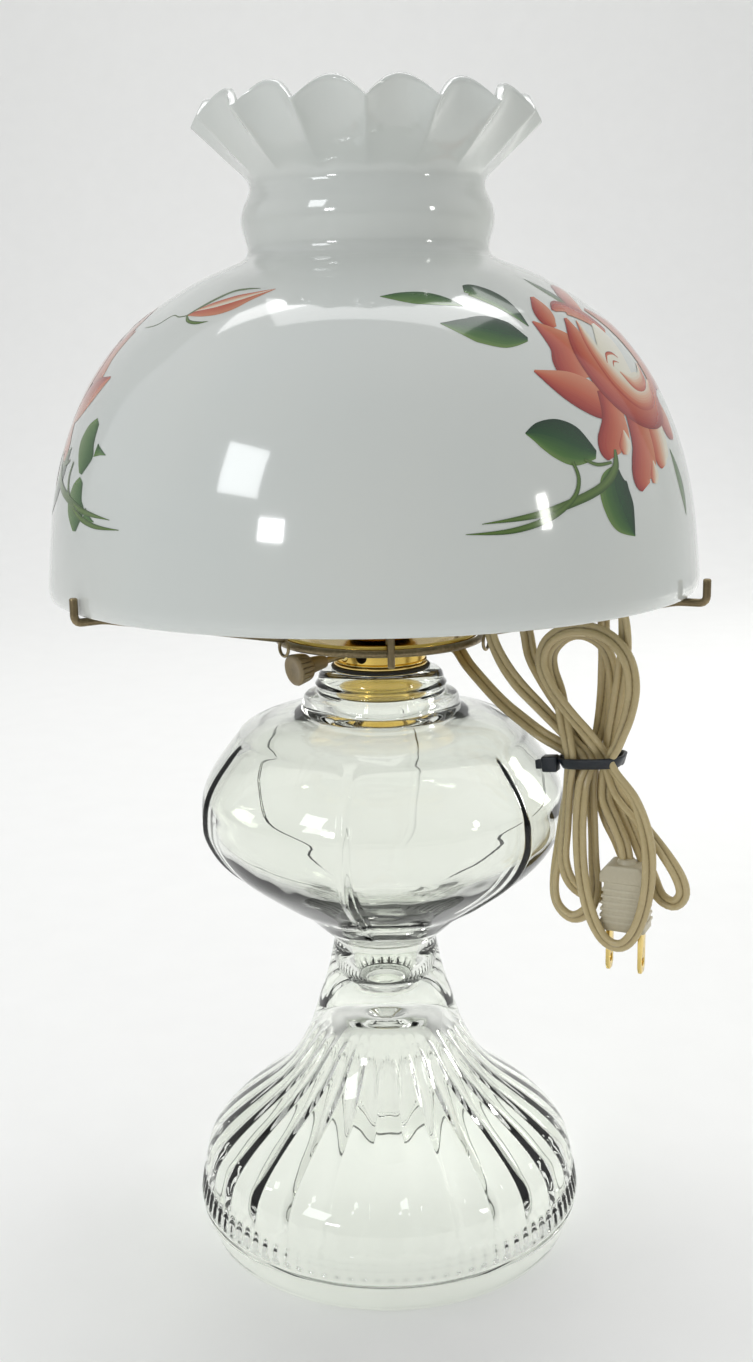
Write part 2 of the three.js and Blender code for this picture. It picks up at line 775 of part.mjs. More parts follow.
// ---------------------------------------------------------------- cord
/** The hank hangs in the upright plane of one arm: x along the arm, y up, z to the arm's front side. */
function hankFrame() {
  const frame = new THREE.Group();
  const azimuth = TRIPOD.arm_azimuths[HANK.arm];
  const along = polar(1, azimuth, 0);
  const up = v3(0, 0, 1);
  const front = along.clone().cross(up);
  const matrix = new THREE.Matrix4().makeBasis(along, up, front);
  matrix.setPosition(polar(HANK.reach, azimuth, tieHeight));
  frame.applyMatrix4(matrix);
  lamp.add(frame);
  return frame;
}

/** An outline in the hank's plane through hand-placed points, extruded to a thickness about z = 0. */
function slab(pairs, thickness) {
  const curve = new THREE.CatmullRomCurve3(pairs.map(([x, y]) => v3(x, y, 0)), true, "centripetal");
  const points = curve.getPoints(pairs.length * 2).slice(0, -1);
  const shape = new THREE.Shape(points.map((p) => v2(p.x, p.y)));
  const geometry = new THREE.ExtrudeGeometry(shape, { depth: thickness, bevelEnabled: false });
  return geometry.translate(0, 0, -thickness / 2);
}

/** Folded cord above and below the tie, cut clear of the arm, the tail and the plug. */
function cordHank() {
  const half = HANK.waist / 2;
  const outline = [
    [-half, -7], [-half, 0], [-half, 7], [-19, 20], [-34, 42], [-40, 52], [-33, 58], [-14, 60], [4, 62],
    [15, 58], [19, 46], [17, 30], [half + 1.5, 14], [half, 7], [half, 0], [half, -7], [17, -20], [28, -38],
    [37, -50], [35, -58], [30, -60], [27, -70], [20, -77], [12, -78], [4, -72], [0, -64], [-7, -62],
    [-13, -60], [-15.5, -47], [-12.4, -31], [-11.5, -18],
  ];
  const eye = [
    [0.5, -13], [8, -13], [15, -24], [22, -38], [25.5, -52], [25, -65], [20, -72], [8, -72], [3, -67],
    [2.2, -50], [2.2, -36], [0, -22],
  ];
  const armRun = [-45, 29].map((x) => v3(x, armHeight(HANK.reach + x) - tieHeight, 0));
  const channel = rod(new THREE.LineCurve3(armRun[0], armRun[1]), WIRE / 2 + 1, 1, 12);
  const bladeRoom = block(v3(PLUG.along - 12, -95, -HANK.thickness), v3(PLUG.along + 12, -66, 3.6));
  const cut = solid(slab(outline, HANK.thickness))
    .subtract(solid(slab(eye, HANK.thickness * 2)))
    .subtract(solid(channel))
    .subtract(solid(bladeRoom));
  return geometryOf(cut);
}

function cordTie() {
  const wide = HANK.waist / 2 + FIT_GAP + 0.4;
  const deep = HANK.thickness / 2 + FIT_GAP + 0.1;
  const reachX = wide + TIE.band;
  const reachZ = deep + TIE.band;
  const outer = block(v3(-reachX, -TIE.height / 2, -reachZ), v3(reachX, TIE.height / 2, reachZ));
  const inner = block(v3(-wide, -TIE.height, -deep), v3(wide, TIE.height, deep));
  const [headX, headY, headZ] = TIE.head;
  const head = block(v3(-wide - headX, -headY / 2, deep - headZ + 2), v3(-wide - 0.4, headY / 2, deep + 2));
  const joined = solid(outer).add(solid(head)).subtract(solid(inner));
  return geometryOf(joined).rotateZ(rad(TIE.tilt));
}

// Lead from the bushing to the tie, chosen by hand, in the lamp's frame.
const LEAD_POINTS = [
  [31, 8.6, 246.6],
  [36.1, -1, 240.2],
  [47.1, -13, 229],
  [56.1, -22, 222.4],
  [62.3, -29, 218.6],
];

function cordLead() {
  const start = polar(burnerRadius + CORD.bushing_length + FIT_GAP, CORD.exit_azimuth, cordExitHeight);
  const points = [start, ...LEAD_POINTS.map(([x, y, z]) => v3(x, y, z))];
  const curve = new THREE.CatmullRomCurve3(points, false, "centripetal");
  return rod(curve, CORD.thickness / 2, 14);
}

// Tail from the tie to the plug, in the hank's frame.
const TAIL_POINTS = [
  [5.4, -15.5, 0],
  [9.4, -24, 0.6],
  [12.8, -32, 0.4],
];

function cordTail() {
  const end = v3(PLUG.along, PLUG.top + 2 * FIT_GAP, 0);
  const points = [...TAIL_POINTS.map(([x, y, z]) => v3(x, y, z)), end];
  return rod(new THREE.CatmullRomCurve3(points, false, "centripetal"), CORD.thickness / 2, 8);
}

function plugBody() {
  const shape = new THREE.Shape();
  const half = PLUG.width / 2;
  const low = -PLUG.length;
  const shoulder = -PLUG.shoulder;
  shape.moveTo(-half + 3, 0);
  shape.lineTo(half - 3, 0);
  shape.lineTo(half, shoulder + 3);
  shape.lineTo(half, shoulder);
  shape.lineTo(half - 1.6, shoulder - 3);
  shape.lineTo(half - 0.6, low);
  shape.lineTo(-half + 0.6, low);
  shape.lineTo(-half + 1.6, shoulder - 3);
  shape.lineTo(-half, shoulder);
  shape.lineTo(-half, shoulder + 3);
  shape.closePath();
  const bevel = 1;
  const options = {
    depth: PLUG.depth - 2 * bevel,
    bevelEnabled: true,
    bevelSize: bevel,
    bevelThickness: bevel,
    bevelOffset: -bevel,
    bevelSegments: 2,
  };
  const body = new THREE.ExtrudeGeometry(shape, options);
  return body.translate(0, 0, -PLUG.depth / 2 + bevel);
}

function blade(width, side) {
  const [, thickness, length] = PLUG.blade;
  const x = side * PLUG.blade_pitch;
  const top = -PLUG.length - FIT_GAP;
  return block(v3(x - thickness / 2, top - length, -width / 2), v3(x + thickness / 2, top, width / 2));
}

function buildCord() {
  add("cord_lead", cordLead(), "cord_vinyl");
  const frame = hankFrame();
  add("cord_hank", cordHank(), "cord_vinyl", frame);
  add("cord_tie", cordTie(), "black_rubber", frame);
  add("cord_tail", cordTail(), "cord_vinyl", frame);
  const plug = new THREE.Group();
  plug.position.set(PLUG.along, PLUG.top, 0);
  frame.add(plug);
  add("plug_body", plugBody(), "plug_vinyl", plug);
  add("plug_blade_wide", blade(PLUG.blade[0], 1), "bright_brass", plug);
  add("plug_blade_narrow", blade(PLUG.narrow_blade_width, -1), "bright_brass", plug);
}

buildGlass();
buildBurner();
buildSocket();
buildBulb();
buildTripod();
buildShade();
buildCord();

export default lamp;
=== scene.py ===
"""Looks of an electrified oil lamp.

A pressed glass base, a brass burner and gallery, a wire tripod, an opal shade with painted roses, and a flat twin
cord tied in a hank over one tripod arm. Sizes are millimetres in the lamp's own frame; meshes are made in metres.
"""

import logging
import math
from collections.abc import Callable, Sequence
from dataclasses import dataclass, field
from enum import Enum

import bmesh
import bpy
import numpy as np
from mathutils import Matrix, Vector

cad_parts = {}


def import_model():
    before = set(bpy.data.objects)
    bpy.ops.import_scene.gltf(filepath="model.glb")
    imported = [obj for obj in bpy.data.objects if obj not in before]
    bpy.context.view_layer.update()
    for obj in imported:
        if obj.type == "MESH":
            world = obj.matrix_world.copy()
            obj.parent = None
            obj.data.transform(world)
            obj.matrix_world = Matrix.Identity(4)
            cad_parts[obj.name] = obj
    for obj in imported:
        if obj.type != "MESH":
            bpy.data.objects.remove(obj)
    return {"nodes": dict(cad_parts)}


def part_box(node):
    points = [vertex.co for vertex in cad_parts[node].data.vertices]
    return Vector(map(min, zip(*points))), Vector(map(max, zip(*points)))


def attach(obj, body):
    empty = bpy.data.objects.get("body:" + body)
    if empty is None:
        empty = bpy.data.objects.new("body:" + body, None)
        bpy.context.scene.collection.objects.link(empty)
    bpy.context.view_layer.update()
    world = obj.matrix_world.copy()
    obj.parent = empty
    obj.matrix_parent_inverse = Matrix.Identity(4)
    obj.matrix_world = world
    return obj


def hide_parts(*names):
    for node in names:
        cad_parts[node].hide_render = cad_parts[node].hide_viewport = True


LOG = logging.getLogger("lamp")
MM = 0.001

Pair = tuple[float, float]
Triple = tuple[float, float, float]
Colour = tuple[float, float, float]
Bend = Callable[[np.ndarray, np.ndarray, np.ndarray], tuple[np.ndarray, np.ndarray]]


class Body(Enum):
    """The moving bodies of the lamp."""

    ROOT = "root"
    KNOB = "knob"
    SHADE = "shade"
    BULB = "bulb"


# ---------------------------------------------------------------- shape helpers
def polar(radius: float, azimuth: float, z: float) -> Vector:
    """A point at a radius, azimuth and height.

    Args:
        radius: Distance from the axis in mm.
        azimuth: Degrees from -Y towards +X.
        z: Height in mm.

    Returns:
        The point in mm.
    """
    a = math.radians(azimuth)
    return Vector((radius * math.sin(a), -radius * math.cos(a), z))


def spline(points: Sequence[Sequence[float]], per_span: int) -> list[tuple[float, ...]]:
    """Points of a smooth curve that passes through a few points.

    Args:
        points: The points to pass through, of any dimension.
        per_span: Steps between two neighbours.

    Returns:
        The points along the curve, both ends included.
    """
    p = np.array(points, float)
    p = np.vstack([p[:1], p, p[-1:]])
    made = []
    for i in range(1, len(p) - 2):
        for k in range(per_span):
            t = k / per_span
            a, b, c, d = p[i - 1], p[i], p[i + 1], p[i + 2]
            v0, v1 = (c - a) / 2, (d - b) / 2
            at = (2 * b - 2 * c + v0 + v1) * t**3 + (-3 * b + 3 * c - 2 * v0 - v1) * t**2 + v0 * t + b
            made.append(tuple(at))
    made.append(tuple(p[-2]))
    return made


def arc(centre: Pair, radius: float, start: float, end: float, steps: int) -> list[Pair]:
    """Points on an arc in the profile plane.

    Args:
        centre: The arc's centre as (r, z).
        radius: Its radius in mm.
        start: Start angle in degrees.
        end: End angle in degrees.
        steps: Number of steps.

    Returns:
        The points, both ends included.
    """
    angles = np.radians(np.linspace(start, end, steps + 1))
    return [(centre[0] + radius * math.cos(a), centre[1] + radius * math.sin(a)) for a in angles]


def smoothstep(low: float, high: float, x: np.ndarray) -> np.ndarray:
    """A soft step from 0 at low to 1 at high."""
    t = np.clip((x - low) / (high - low), 0.0, 1.0)
    return t * t * (3 - 2 * t)


def into_scene(name: str, data: bpy.types.ID) -> bpy.types.Object:
    """A new object in the scene.

    Args:
        name: The object's name.
        data: Its mesh, light or camera.

    Returns:
        The new object.
    """
    thing = bpy.data.objects.new(name, data)
    bpy.context.scene.collection.objects.link(thing)
    return thing


def smooth(mesh: bpy.types.Mesh, sharp: float) -> None:
    """Shades a mesh smooth, but keeps edges that bend more than this many degrees sharp."""
    mesh.shade_smooth()
    mesh.set_sharp_from_angle(angle=math.radians(sharp))


def face_outwards(mesh: bpy.types.Mesh) -> None:
    """Turns the faces of a closed mesh to point outwards.

    Args:
        mesh: The mesh to change.
    """
    bm = bmesh.new()
    bm.from_mesh(mesh)
    bmesh.ops.recalc_face_normals(bm, faces=bm.faces)
    bm.to_mesh(mesh)
    bm.free()


def link(name: str, vertices: np.ndarray, faces: list[tuple[int, ...]], sharp: float = 40.0) -> bpy.types.Object:
    """A smooth-shaded mesh object with outward faces.

    Args:
        name: The piece's name.
        vertices: Its points in mm.
        faces: Its faces.
        sharp: Edges that bend more than this many degrees stay sharp.

    Returns:
        The new object.
    """
    mesh = bpy.data.meshes.new(name)
    mesh.from_pydata((np.asarray(vertices, float) * MM).tolist(), [], faces)
    mesh.update()
    face_outwards(mesh)
    smooth(mesh, sharp)
    return into_scene(name, mesh)


def revolve(
    name: str, outline: Sequence[Pair], segments: int, bend: Bend | None = None, sharp: float = 40.0
) -> bpy.types.Object:
    """A solid turned about Z.

    Args:
        name: The piece's name.
        outline: (r, z) points in mm; it starts and ends on the axis, or closes on itself.
        segments: Steps round the axis.
        bend: Changes radius and height by azimuth: takes r, z as columns and angle as a row.
        sharp: Edges that bend more than this many degrees stay sharp.

    Returns:
        The new object.
    """
    points = np.array(outline, float)
    angle = np.arange(segments) * 2 * math.pi / segments
    r = np.repeat(points[:, :1], segments, 1)
    z = np.repeat(points[:, 1:], segments, 1)
    if bend is not None:
        r, z = bend(r, z, angle[None, :])
    on_axis = points[:, 0] < 1e-6
    vertices, rings = [], []
    for i in range(len(points)):
        first = len(vertices)
        if on_axis[i]:
            vertices.append((0.0, 0.0, z[i, 0]))
            rings.append([first] * segments)
            continue
        vertices.extend(zip(r[i] * np.cos(angle), r[i] * np.sin(angle), z[i]))
        rings.append(list(range(first, first + segments)))
    closed = not on_axis[0]
    faces = []
    for i in range(len(rings) if closed else len(rings) - 1):
        a, b = rings[i], rings[(i + 1) % len(rings)]
        for j in range(segments):
            k = (j + 1) % segments
            corners = list(dict.fromkeys((a[j], a[k], b[k], b[j])))
            if len(corners) > 2:
                faces.append(tuple(corners))
    return link(name, np.array(vertices), faces, sharp)


def sweep(
    name: str,
    path: Sequence[Sequence[float]],
    section: Sequence[Pair],
    facing: Vector,
    closed: bool = False,
    follow: float = 0.12,
    twist: Callable[[float], float] | None = None,
    sharp: float = 60.0,
) -> bpy.types.Object:
    """A bar of one section along a path.

    Args:
        name: The piece's name.
        path: Points in mm, close together.
        section: Outline in mm as (across, out); "out" leans towards facing.
        facing: The direction that the section's "out" side follows.
        closed: True for a ring.
        follow: How quickly the section turns towards facing, from 0 to 1 a step.
        twist: Extra turn in radians by share of the path.
        sharp: Edges that bend more than this many degrees stay sharp.

    Returns:
        The new object.
    """
    p = np.array(path, float)
    n = len(p)
    ahead = np.roll(p, -1, 0) - np.roll(p, 1, 0)
    if not closed:
        ahead[0], ahead[-1] = p[1] - p[0], p[-1] - p[-2]
    tangent = ahead / np.linalg.norm(ahead, axis=1)[:, None]
    target = np.array(facing, float)
    out = target - tangent[0] * (target @ tangent[0])
    if np.linalg.norm(out) < 1e-3:
        out = np.cross(tangent[0], (0.3, 0.5, 0.8))
    out /= np.linalg.norm(out)
    vertices = []
    for i in range(n):
        out = out - tangent[i] * (out @ tangent[i])
        out /= np.linalg.norm(out)
        wish = target - tangent[i] * (target @ tangent[i])
        out = out + follow * wish
        out /= np.linalg.norm(out)
        across = np.cross(tangent[i], out)
        turn = twist(i / (n - 1)) if twist else 0.0
        side = across * math.cos(turn) + out * math.sin(turn)
        face = out * math.cos(turn) - across * math.sin(turn)
        vertices.extend(p[i] + side * x + face * y for x, y in section)
    m = len(section)
    faces = [
        (i * m + j, i * m + (j + 1) % m, ((i + 1) % n) * m + (j + 1) % m, ((i + 1) % n) * m + j)
        for i in range(n if closed else n - 1)
        for j in range(m)
    ]
    if not closed:
        faces += [tuple(range(m)), tuple(range((n - 1) * m, n * m))]
    return link(name, np.array(vertices), faces, sharp)


def round_section(radius: float, sides: int = 16) -> list[Pair]:
    """A circle's outline in mm."""
    angles = [2 * math.pi * i / sides for i in range(sides)]
    return [(radius * math.cos(a), radius * math.sin(a)) for a in angles]


def resample(points: Sequence[Sequence[float]], step: float) -> np.ndarray:
    """Points at even distances along a line.

    Args:
        points: The line's points.
        step: The distance wanted, in mm.

    Returns:
        The points, both ends included.
    """
    p = np.array(points, float)
    s = np.concatenate([[0], np.cumsum(np.linalg.norm(np.diff(p, axis=0), axis=1))])
    at = np.linspace(0, s[-1], max(2, round(s[-1] / step) + 1))
    return np.stack([np.interp(at, s, p[:, k]) for k in range(p.shape[1])], 1)


def bent_path(corners: Sequence[Vector], bend: float, steps: int = 8) -> list[Vector]:
    """A path of straight runs joined by round bends.

    Args:
        corners: The corners in mm.
        bend: How far before and after each corner the bend begins.
        steps: Steps in a bend.

    Returns:
        Points along the path.
    """
    path = [corners[0]]
    for before, corner, after in zip(corners, corners[1:], corners[2:]):
        start = corner + (before - corner).normalized() * bend
        end = corner + (after - corner).normalized() * bend
        for k in range(steps + 1):
            t = k / steps
            path.append(start * (1 - t) ** 2 + corner * 2 * t * (1 - t) + end * t**2)
    path.append(corners[-1])
    return path


def join(name: str, pieces: Sequence[bpy.types.Object]) -> bpy.types.Object:
    """Joins meshes into one piece.

    Args:
        name: The piece's name.
        pieces: The meshes to join.

    Returns:
        The joined piece.
    """
    first = pieces[0]
    with bpy.context.temp_override(active_object=first, selected_editable_objects=list(pieces)):
        bpy.ops.object.join()
    first.name = name
    first.data.name = name
    return first


def apply_modifiers(piece: bpy.types.Object) -> None:
    """Makes the modified shape the piece's own mesh.

    Args:
        piece: The piece to change.
    """
    graph = bpy.context.evaluated_depsgraph_get()
    mesh = bpy.data.meshes.new_from_object(piece.evaluated_get(graph))
    piece.modifiers.clear()
    piece.data = mesh
    piece.data.name = piece.name


def cut(piece: bpy.types.Object, cutters: Sequence[bpy.types.Object]) -> None:
    """Cuts holes in a piece and removes the cutters.

    Args:
        piece: The piece to cut.
        cutters: Closed meshes in the shape of the holes.
    """
    for cutter in cutters:
        modifier = piece.modifiers.new("hole", "BOOLEAN")
        modifier.object = cutter
        modifier.solver = "EXACT"
    apply_modifiers(piece)
    for cutter in cutters:
        bpy.data.objects.remove(cutter)


def bevel(piece: bpy.types.Object, width: float, segments: int = 3, angle: float = 35.0) -> None:
    """Rounds a piece's sharp edges.

    Args:
        piece: The piece.
        width: Rounding in mm.
        segments: Steps in the rounding.
        angle: Edges that bend more than this many degrees are rounded.
    """
    modifier = piece.modifiers.new("round", "BEVEL")
    modifier.width = width * MM
    modifier.segments = segments
    modifier.limit_method = "ANGLE"
    modifier.angle_limit = math.radians(angle)
    apply_modifiers(piece)
    smooth(piece.data, 50)


def prism(name: str, outline: Sequence[Pair], low: float, high: float) -> bpy.types.Object:
    """A flat outline in x and z, given a thickness in y.

    Args:
        name: The piece's name.
        outline: (x, z) points in mm.
        low: Lowest y in mm.
        high: Highest y in mm.

    Returns:
        The new object.
    """
    m = len(outline)
    vertices = [(x, low, z) for x, z in outline] + [(x, high, z) for x, z in outline]
    faces = [(i, (i + 1) % m, m + (i + 1) % m, m + i) for i in range(m)]
    faces += [tuple(range(m)), tuple(range(2 * m - 1, m - 1, -1))]
    return link(name, np.array(vertices), faces, 30)


def place(piece: bpy.types.Object, matrix: Matrix) -> bpy.types.Object:
    """Moves a piece's mesh.

    Args:
        piece: The piece to move.
        matrix: Its turn, and its shift in mm.

    Returns:
        The same piece.
    """
    moved = matrix.copy()
    moved.translation = moved.translation * MM
    piece.data.transform(moved)
    piece.data.update()
    return piece


# ---------------------------------------------------------------- shader building blocks
class Nodes:
    """A material's or group's node tree, with short ways to add to it."""

    def __init__(self, tree: bpy.types.NodeTree) -> None:
        """Wraps a tree."""
        self.tree = tree

    def add(self, kind: str, **settings: object) -> bpy.types.Node:
        """Adds a node and sets its properties.

        Args:
            kind: The node's type.
            settings: Properties to set on it.

        Returns:
            The new node.
        """
        node = self.tree.nodes.new(kind)
        for key, value in settings.items():
            setattr(node, key, value)
        return node

    def wire(self, source: bpy.types.NodeSocket, target: bpy.types.NodeSocket) -> None:
        """Links two sockets."""
        self.tree.links.new(source, target)

    def put(self, socket: bpy.types.NodeSocket, value: object) -> None:
        """Links a socket to another, or sets its plain value.

        Args:
            socket: The input to fill.
            value: Another socket or a plain value.
        """
        if isinstance(value, bpy.types.NodeSocket):
            self.wire(value, socket)
        else:
            socket.default_value = value

    def feed(self, node: bpy.types.Node, **inputs: object) -> bpy.types.Node:
        """Sets or links a node's inputs.

        Args:
            node: The node.
            inputs: Values by input name, with underscores for spaces.

        Returns:
            The same node.
        """
        for key, value in inputs.items():
            self.put(node.inputs[key.replace("_", " ")], value)
        return node

    def maths(self, operation: str, a: object, b: object = 0.0, clamp: bool = False) -> bpy.types.NodeSocket:
        """The result of a Math node.

        Args:
            operation: What it works out.
            a: First value.
            b: Second value.
            clamp: Keeps the result from 0 to 1.

        Returns:
            The result.
        """
        node = self.add("ShaderNodeMath", operation=operation, use_clamp=clamp)
        self.put(node.inputs[0], a)
        self.put(node.inputs[1], b)
        return node.outputs[0]

    def scaled(self, value: bpy.types.NodeSocket, factor: float, offset: object) -> bpy.types.NodeSocket:
        """A value times a factor, plus an offset.

        Args:
            value: The value.
            factor: What it is multiplied by.
            offset: What is added.

        Returns:
            The result.
        """
        node = self.add("ShaderNodeMath", operation="MULTIPLY_ADD")
        for socket, given in zip(node.inputs, (value, factor, offset)):
            self.put(socket, given)
        return node.outputs[0]

    def noise(self, vector: bpy.types.NodeSocket, scale: float, detail: float = 3.0) -> bpy.types.NodeSocket:
        """A noise value at a point.

        Args:
            vector: The point.
            scale: How fine the noise is.
            detail: Its levels of detail.

        Returns:
            The value, from 0 to 1.
        """
        node = self.add("ShaderNodeTexNoise")
        self.feed(node, Vector=vector, Scale=scale, Detail=detail)
        return node.outputs["Fac"]

    def ramp(self, value: bpy.types.NodeSocket, stops: Sequence[tuple[float, Colour]]) -> bpy.types.NodeSocket:
        """A colour ramp's colour for a value.

        Args:
            value: The value.
            stops: Positions and their colours.

        Returns:
            The colour.
        """
        node = self.add("ShaderNodeValToRGB")
        elements = node.color_ramp.elements
        while len(elements) < len(stops):
            elements.new(0.5)
        for element, (position, colour) in zip(elements, stops):
            element.position = position
            element.color = (*colour, 1.0)
        self.wire(value, node.inputs["Fac"])
        return node.outputs["Color"]

    def mix(self, share: object, a: object, b: object, blend: str = "MIX") -> bpy.types.NodeSocket:
        """A mix of two colours.

        Args:
            share: How much of the second.
            a: First colour.
            b: Second colour.
            blend: How they are blended.

        Returns:
            The mixed colour.
        """
        node = self.add("ShaderNodeMix", data_type="RGBA", blend_type=blend)
        for socket, value in zip((node.inputs[0], node.inputs[6], node.inputs[7]), (share, a, b)):
            self.put(socket, (*value, 1.0) if isinstance(value, tuple) else value)
        return node.outputs[2]

    def group(self, tree: bpy.types.NodeTree, **inputs: object) -> bpy.types.Node:
        """Places a shared effect with its own values."""
        node = self.add("ShaderNodeGroup", node_tree=tree)
        return self.feed(node, **inputs)


class Effects:
    """Effects that several materials share, each a node group made once."""

    def __init__(self) -> None:
        """Builds the groups."""
        self.variation = self._variation()
        self.wear_and_hollow_shade = self._wear_and_hollow_shade()
        self.scratches = self._scratches()
        self.dust = self._dust()

    @staticmethod
    def _group(name: str, inputs: dict[str, float], outputs: Sequence[str]) -> tuple[Nodes, object, object]:
        """An empty group with named float inputs and outputs.

        Args:
            name: The group's name.
            inputs: Input names and their first values.
            outputs: Output names.

        Returns:
            The tree, its input node and its output node.
        """
        tree = bpy.data.node_groups.new(name, "ShaderNodeTree")
        for key, value in inputs.items():
            socket = tree.interface.new_socket(name=key, in_out="INPUT", socket_type="NodeSocketFloat")
            socket.default_value = value
        for key in outputs:
            tree.interface.new_socket(name=key, in_out="OUTPUT", socket_type="NodeSocketFloat")
        nodes = Nodes(tree)
        return nodes, nodes.add("NodeGroupInput"), nodes.add("NodeGroupOutput")

    def _variation(self) -> bpy.types.NodeTree:
        """Slow and fast unevenness from 0 to 1.

        Returns:
            The group.
        """
        nodes, given, made = self._group("Variation", {"Scale": 60.0, "Fine": 6.0}, ("Value", "Height"))
        place_at = nodes.add("ShaderNodeTexCoord").outputs["Object"]
        slow = nodes.add("ShaderNodeTexNoise")
        nodes.feed(slow, Vector=place_at, Scale=given.outputs["Scale"], Detail=2.0)
        fast = nodes.add("ShaderNodeTexNoise")
        scale = nodes.maths("MULTIPLY", given.outputs["Scale"], given.outputs["Fine"])
        nodes.feed(fast, Vector=place_at, Scale=scale, Detail=4.0)
        share = nodes.maths("MULTIPLY", fast.outputs["Fac"], 0.4)
        nodes.wire(nodes.scaled(slow.outputs["Fac"], 0.6, share), made.inputs["Value"])
        nodes.wire(fast.outputs["Fac"], made.inputs["Height"])
        return nodes.tree

    def _wear_and_hollow_shade(self) -> bpy.types.NodeTree:
        """Worn edges: 1 where an edge stands out, broken up by noise. With Start above End it gives 1 in hollows
        instead, for painted shade.

        Returns:
            The group.
        """
        nodes, given, made = self._group("Edge wear", {"Start": 0.52, "End": 0.6}, ("Mask",))
        pointed = nodes.add("ShaderNodeNewGeometry").outputs["Pointiness"]
        place_at = nodes.add("ShaderNodeTexCoord").outputs["Object"]
        uneven = nodes.scaled(nodes.noise(place_at, 900.0), 0.05, -0.025)
        sharpness = nodes.maths("ADD", pointed, uneven)
        span = nodes.maths("SUBTRACT", given.outputs["End"], given.outputs["Start"])
        above = nodes.maths("SUBTRACT", sharpness, given.outputs["Start"])
        nodes.wire(nodes.maths("DIVIDE", above, span, clamp=True), made.inputs["Mask"])
        return nodes.tree

    def _scratches(self) -> bpy.types.NodeTree:
        """Fine scratches that run round the lamp's axis, as a height from 0 to 1.

        Returns:
            The group.
        """
        nodes, given, made = self._group("Scratches", {"Scale": 300.0}, ("Height",))
        place_at = nodes.add("ShaderNodeTexCoord").outputs["Object"]
        stretch = nodes.add("ShaderNodeMapping")
        nodes.feed(stretch, Vector=place_at, Scale=(0.06, 0.06, 1.0))
        fine = nodes.add("ShaderNodeTexNoise")
        nodes.feed(fine, Vector=stretch.outputs[0], Scale=given.outputs["Scale"], Detail=5.0)
        nodes.wire(fine.outputs["Fac"], made.inputs["Height"])
        return nodes.tree

    def _dust(self) -> bpy.types.NodeTree:
        """Settled dust: more on faces that look up.

        Returns:
            The group.
        """
        nodes, given, made = self._group("Dust", {"Amount": 0.2}, ("Mask",))
        geometry = nodes.add("ShaderNodeNewGeometry")
        split = nodes.add("ShaderNodeSeparateXYZ")
        nodes.wire(geometry.outputs["Normal"], split.inputs[0])
        up = nodes.maths("MULTIPLY", split.outputs["Z"], 0.8, clamp=True)
        place_at = nodes.add("ShaderNodeTexCoord").outputs["Object"]
        specks = nodes.maths("POWER", nodes.noise(place_at, 450.0, 6.0), 2.0)
        both = nodes.maths("MULTIPLY", up, specks)
        nodes.wire(nodes.maths("MULTIPLY", both, given.outputs["Amount"], clamp=True), made.inputs["Mask"])
        return nodes.tree


def new_material(name: str) -> tuple[bpy.types.Material, Nodes, bpy.types.Node]:
    """A material with one Principled shader.

    Args:
        name: The material's name.

    Returns:
        The material, its nodes and the shader node.
    """
    material = bpy.data.materials.new(name)
    material.use_nodes = True
    return material, Nodes(material.node_tree), material.node_tree.nodes["Principled BSDF"]


def bump(nodes: Nodes, height: bpy.types.NodeSocket, shader: bpy.types.Node, strength: float, depth: float) -> None:
    """Feeds a height into a shader's normal.

    Args:
        nodes: The material's nodes.
        height: Height from 0 to 1.
        shader: The shader node.
        strength: The bump's strength.
        depth: Real depth in mm.
    """
    node = nodes.add("ShaderNodeBump")
    nodes.feed(node, Height=height, Strength=strength, Distance=depth * MM)
    nodes.wire(node.outputs["Normal"], shader.inputs["Normal"])


@dataclass(frozen=True)
class GlassFinish:
    """Clear pressed glass with a faint grey-green tint."""

    name: str = "pressed glass"
    tint: Colour = (0.915, 0.94, 0.89)
    roughness: float = 0.012
    ripple: float = 0.35

    def build(self) -> bpy.types.Material:
        """Makes the material.

        Returns:
            The material.
        """
        material, nodes, shader = new_material(self.name)
        nodes.feed(shader, Roughness=self.roughness, IOR=1.5, Transmission_Weight=1.0)
        place_at = nodes.add("ShaderNodeTexCoord").outputs["Object"]
        slow = nodes.noise(place_at, 26.0, 2.0)
        nodes.wire(nodes.mix(slow, self.tint, (0.955, 0.965, 0.93)), shader.inputs["Base Color"])
        bump(nodes, slow, shader, self.ripple, 0.9)
        clear = nodes.add("ShaderNodeBsdfTransparent")
        clear.inputs["Color"].default_value = (0.93, 0.94, 0.93, 1.0)
        path = nodes.add("ShaderNodeLightPath")
        mixed = nodes.add("ShaderNodeMixShader")
        nodes.wire(path.outputs["Is Shadow Ray"], mixed.inputs[0])
        nodes.wire(shader.outputs[0], mixed.inputs[1])
        nodes.wire(clear.outputs[0], mixed.inputs[2])
        output = material.node_tree.nodes["Material Output"]
        nodes.wire(mixed.outputs[0], output.inputs["Surface"])
        return material


@dataclass(frozen=True)
class OpalFinish:
    """White opal glass: milky, cool and glossy."""

    name: str = "opal glass"
    colour: Colour = (0.66, 0.70, 0.68)
    warm: Colour = (0.72, 0.735, 0.695)
    roughness: float = 0.09

    def build(self) -> bpy.types.Material:
        """Makes the material.

        Returns:
            The material.
        """
        material, nodes, shader = new_material(self.name)
        nodes.feed(shader, Roughness=self.roughness, IOR=1.5, Coat_Weight=0.6, Coat_Roughness=0.03)
        place_at = nodes.add("ShaderNodeTexCoord").outputs["Object"]
        cloud = nodes.noise(place_at, 14.0, 2.0)
        nodes.wire(nodes.mix(cloud, self.colour, self.warm), shader.inputs["Base Color"])
        bump(nodes, nodes.noise(place_at, 45.0, 1.0), shader, 0.06, 0.6)
        return material


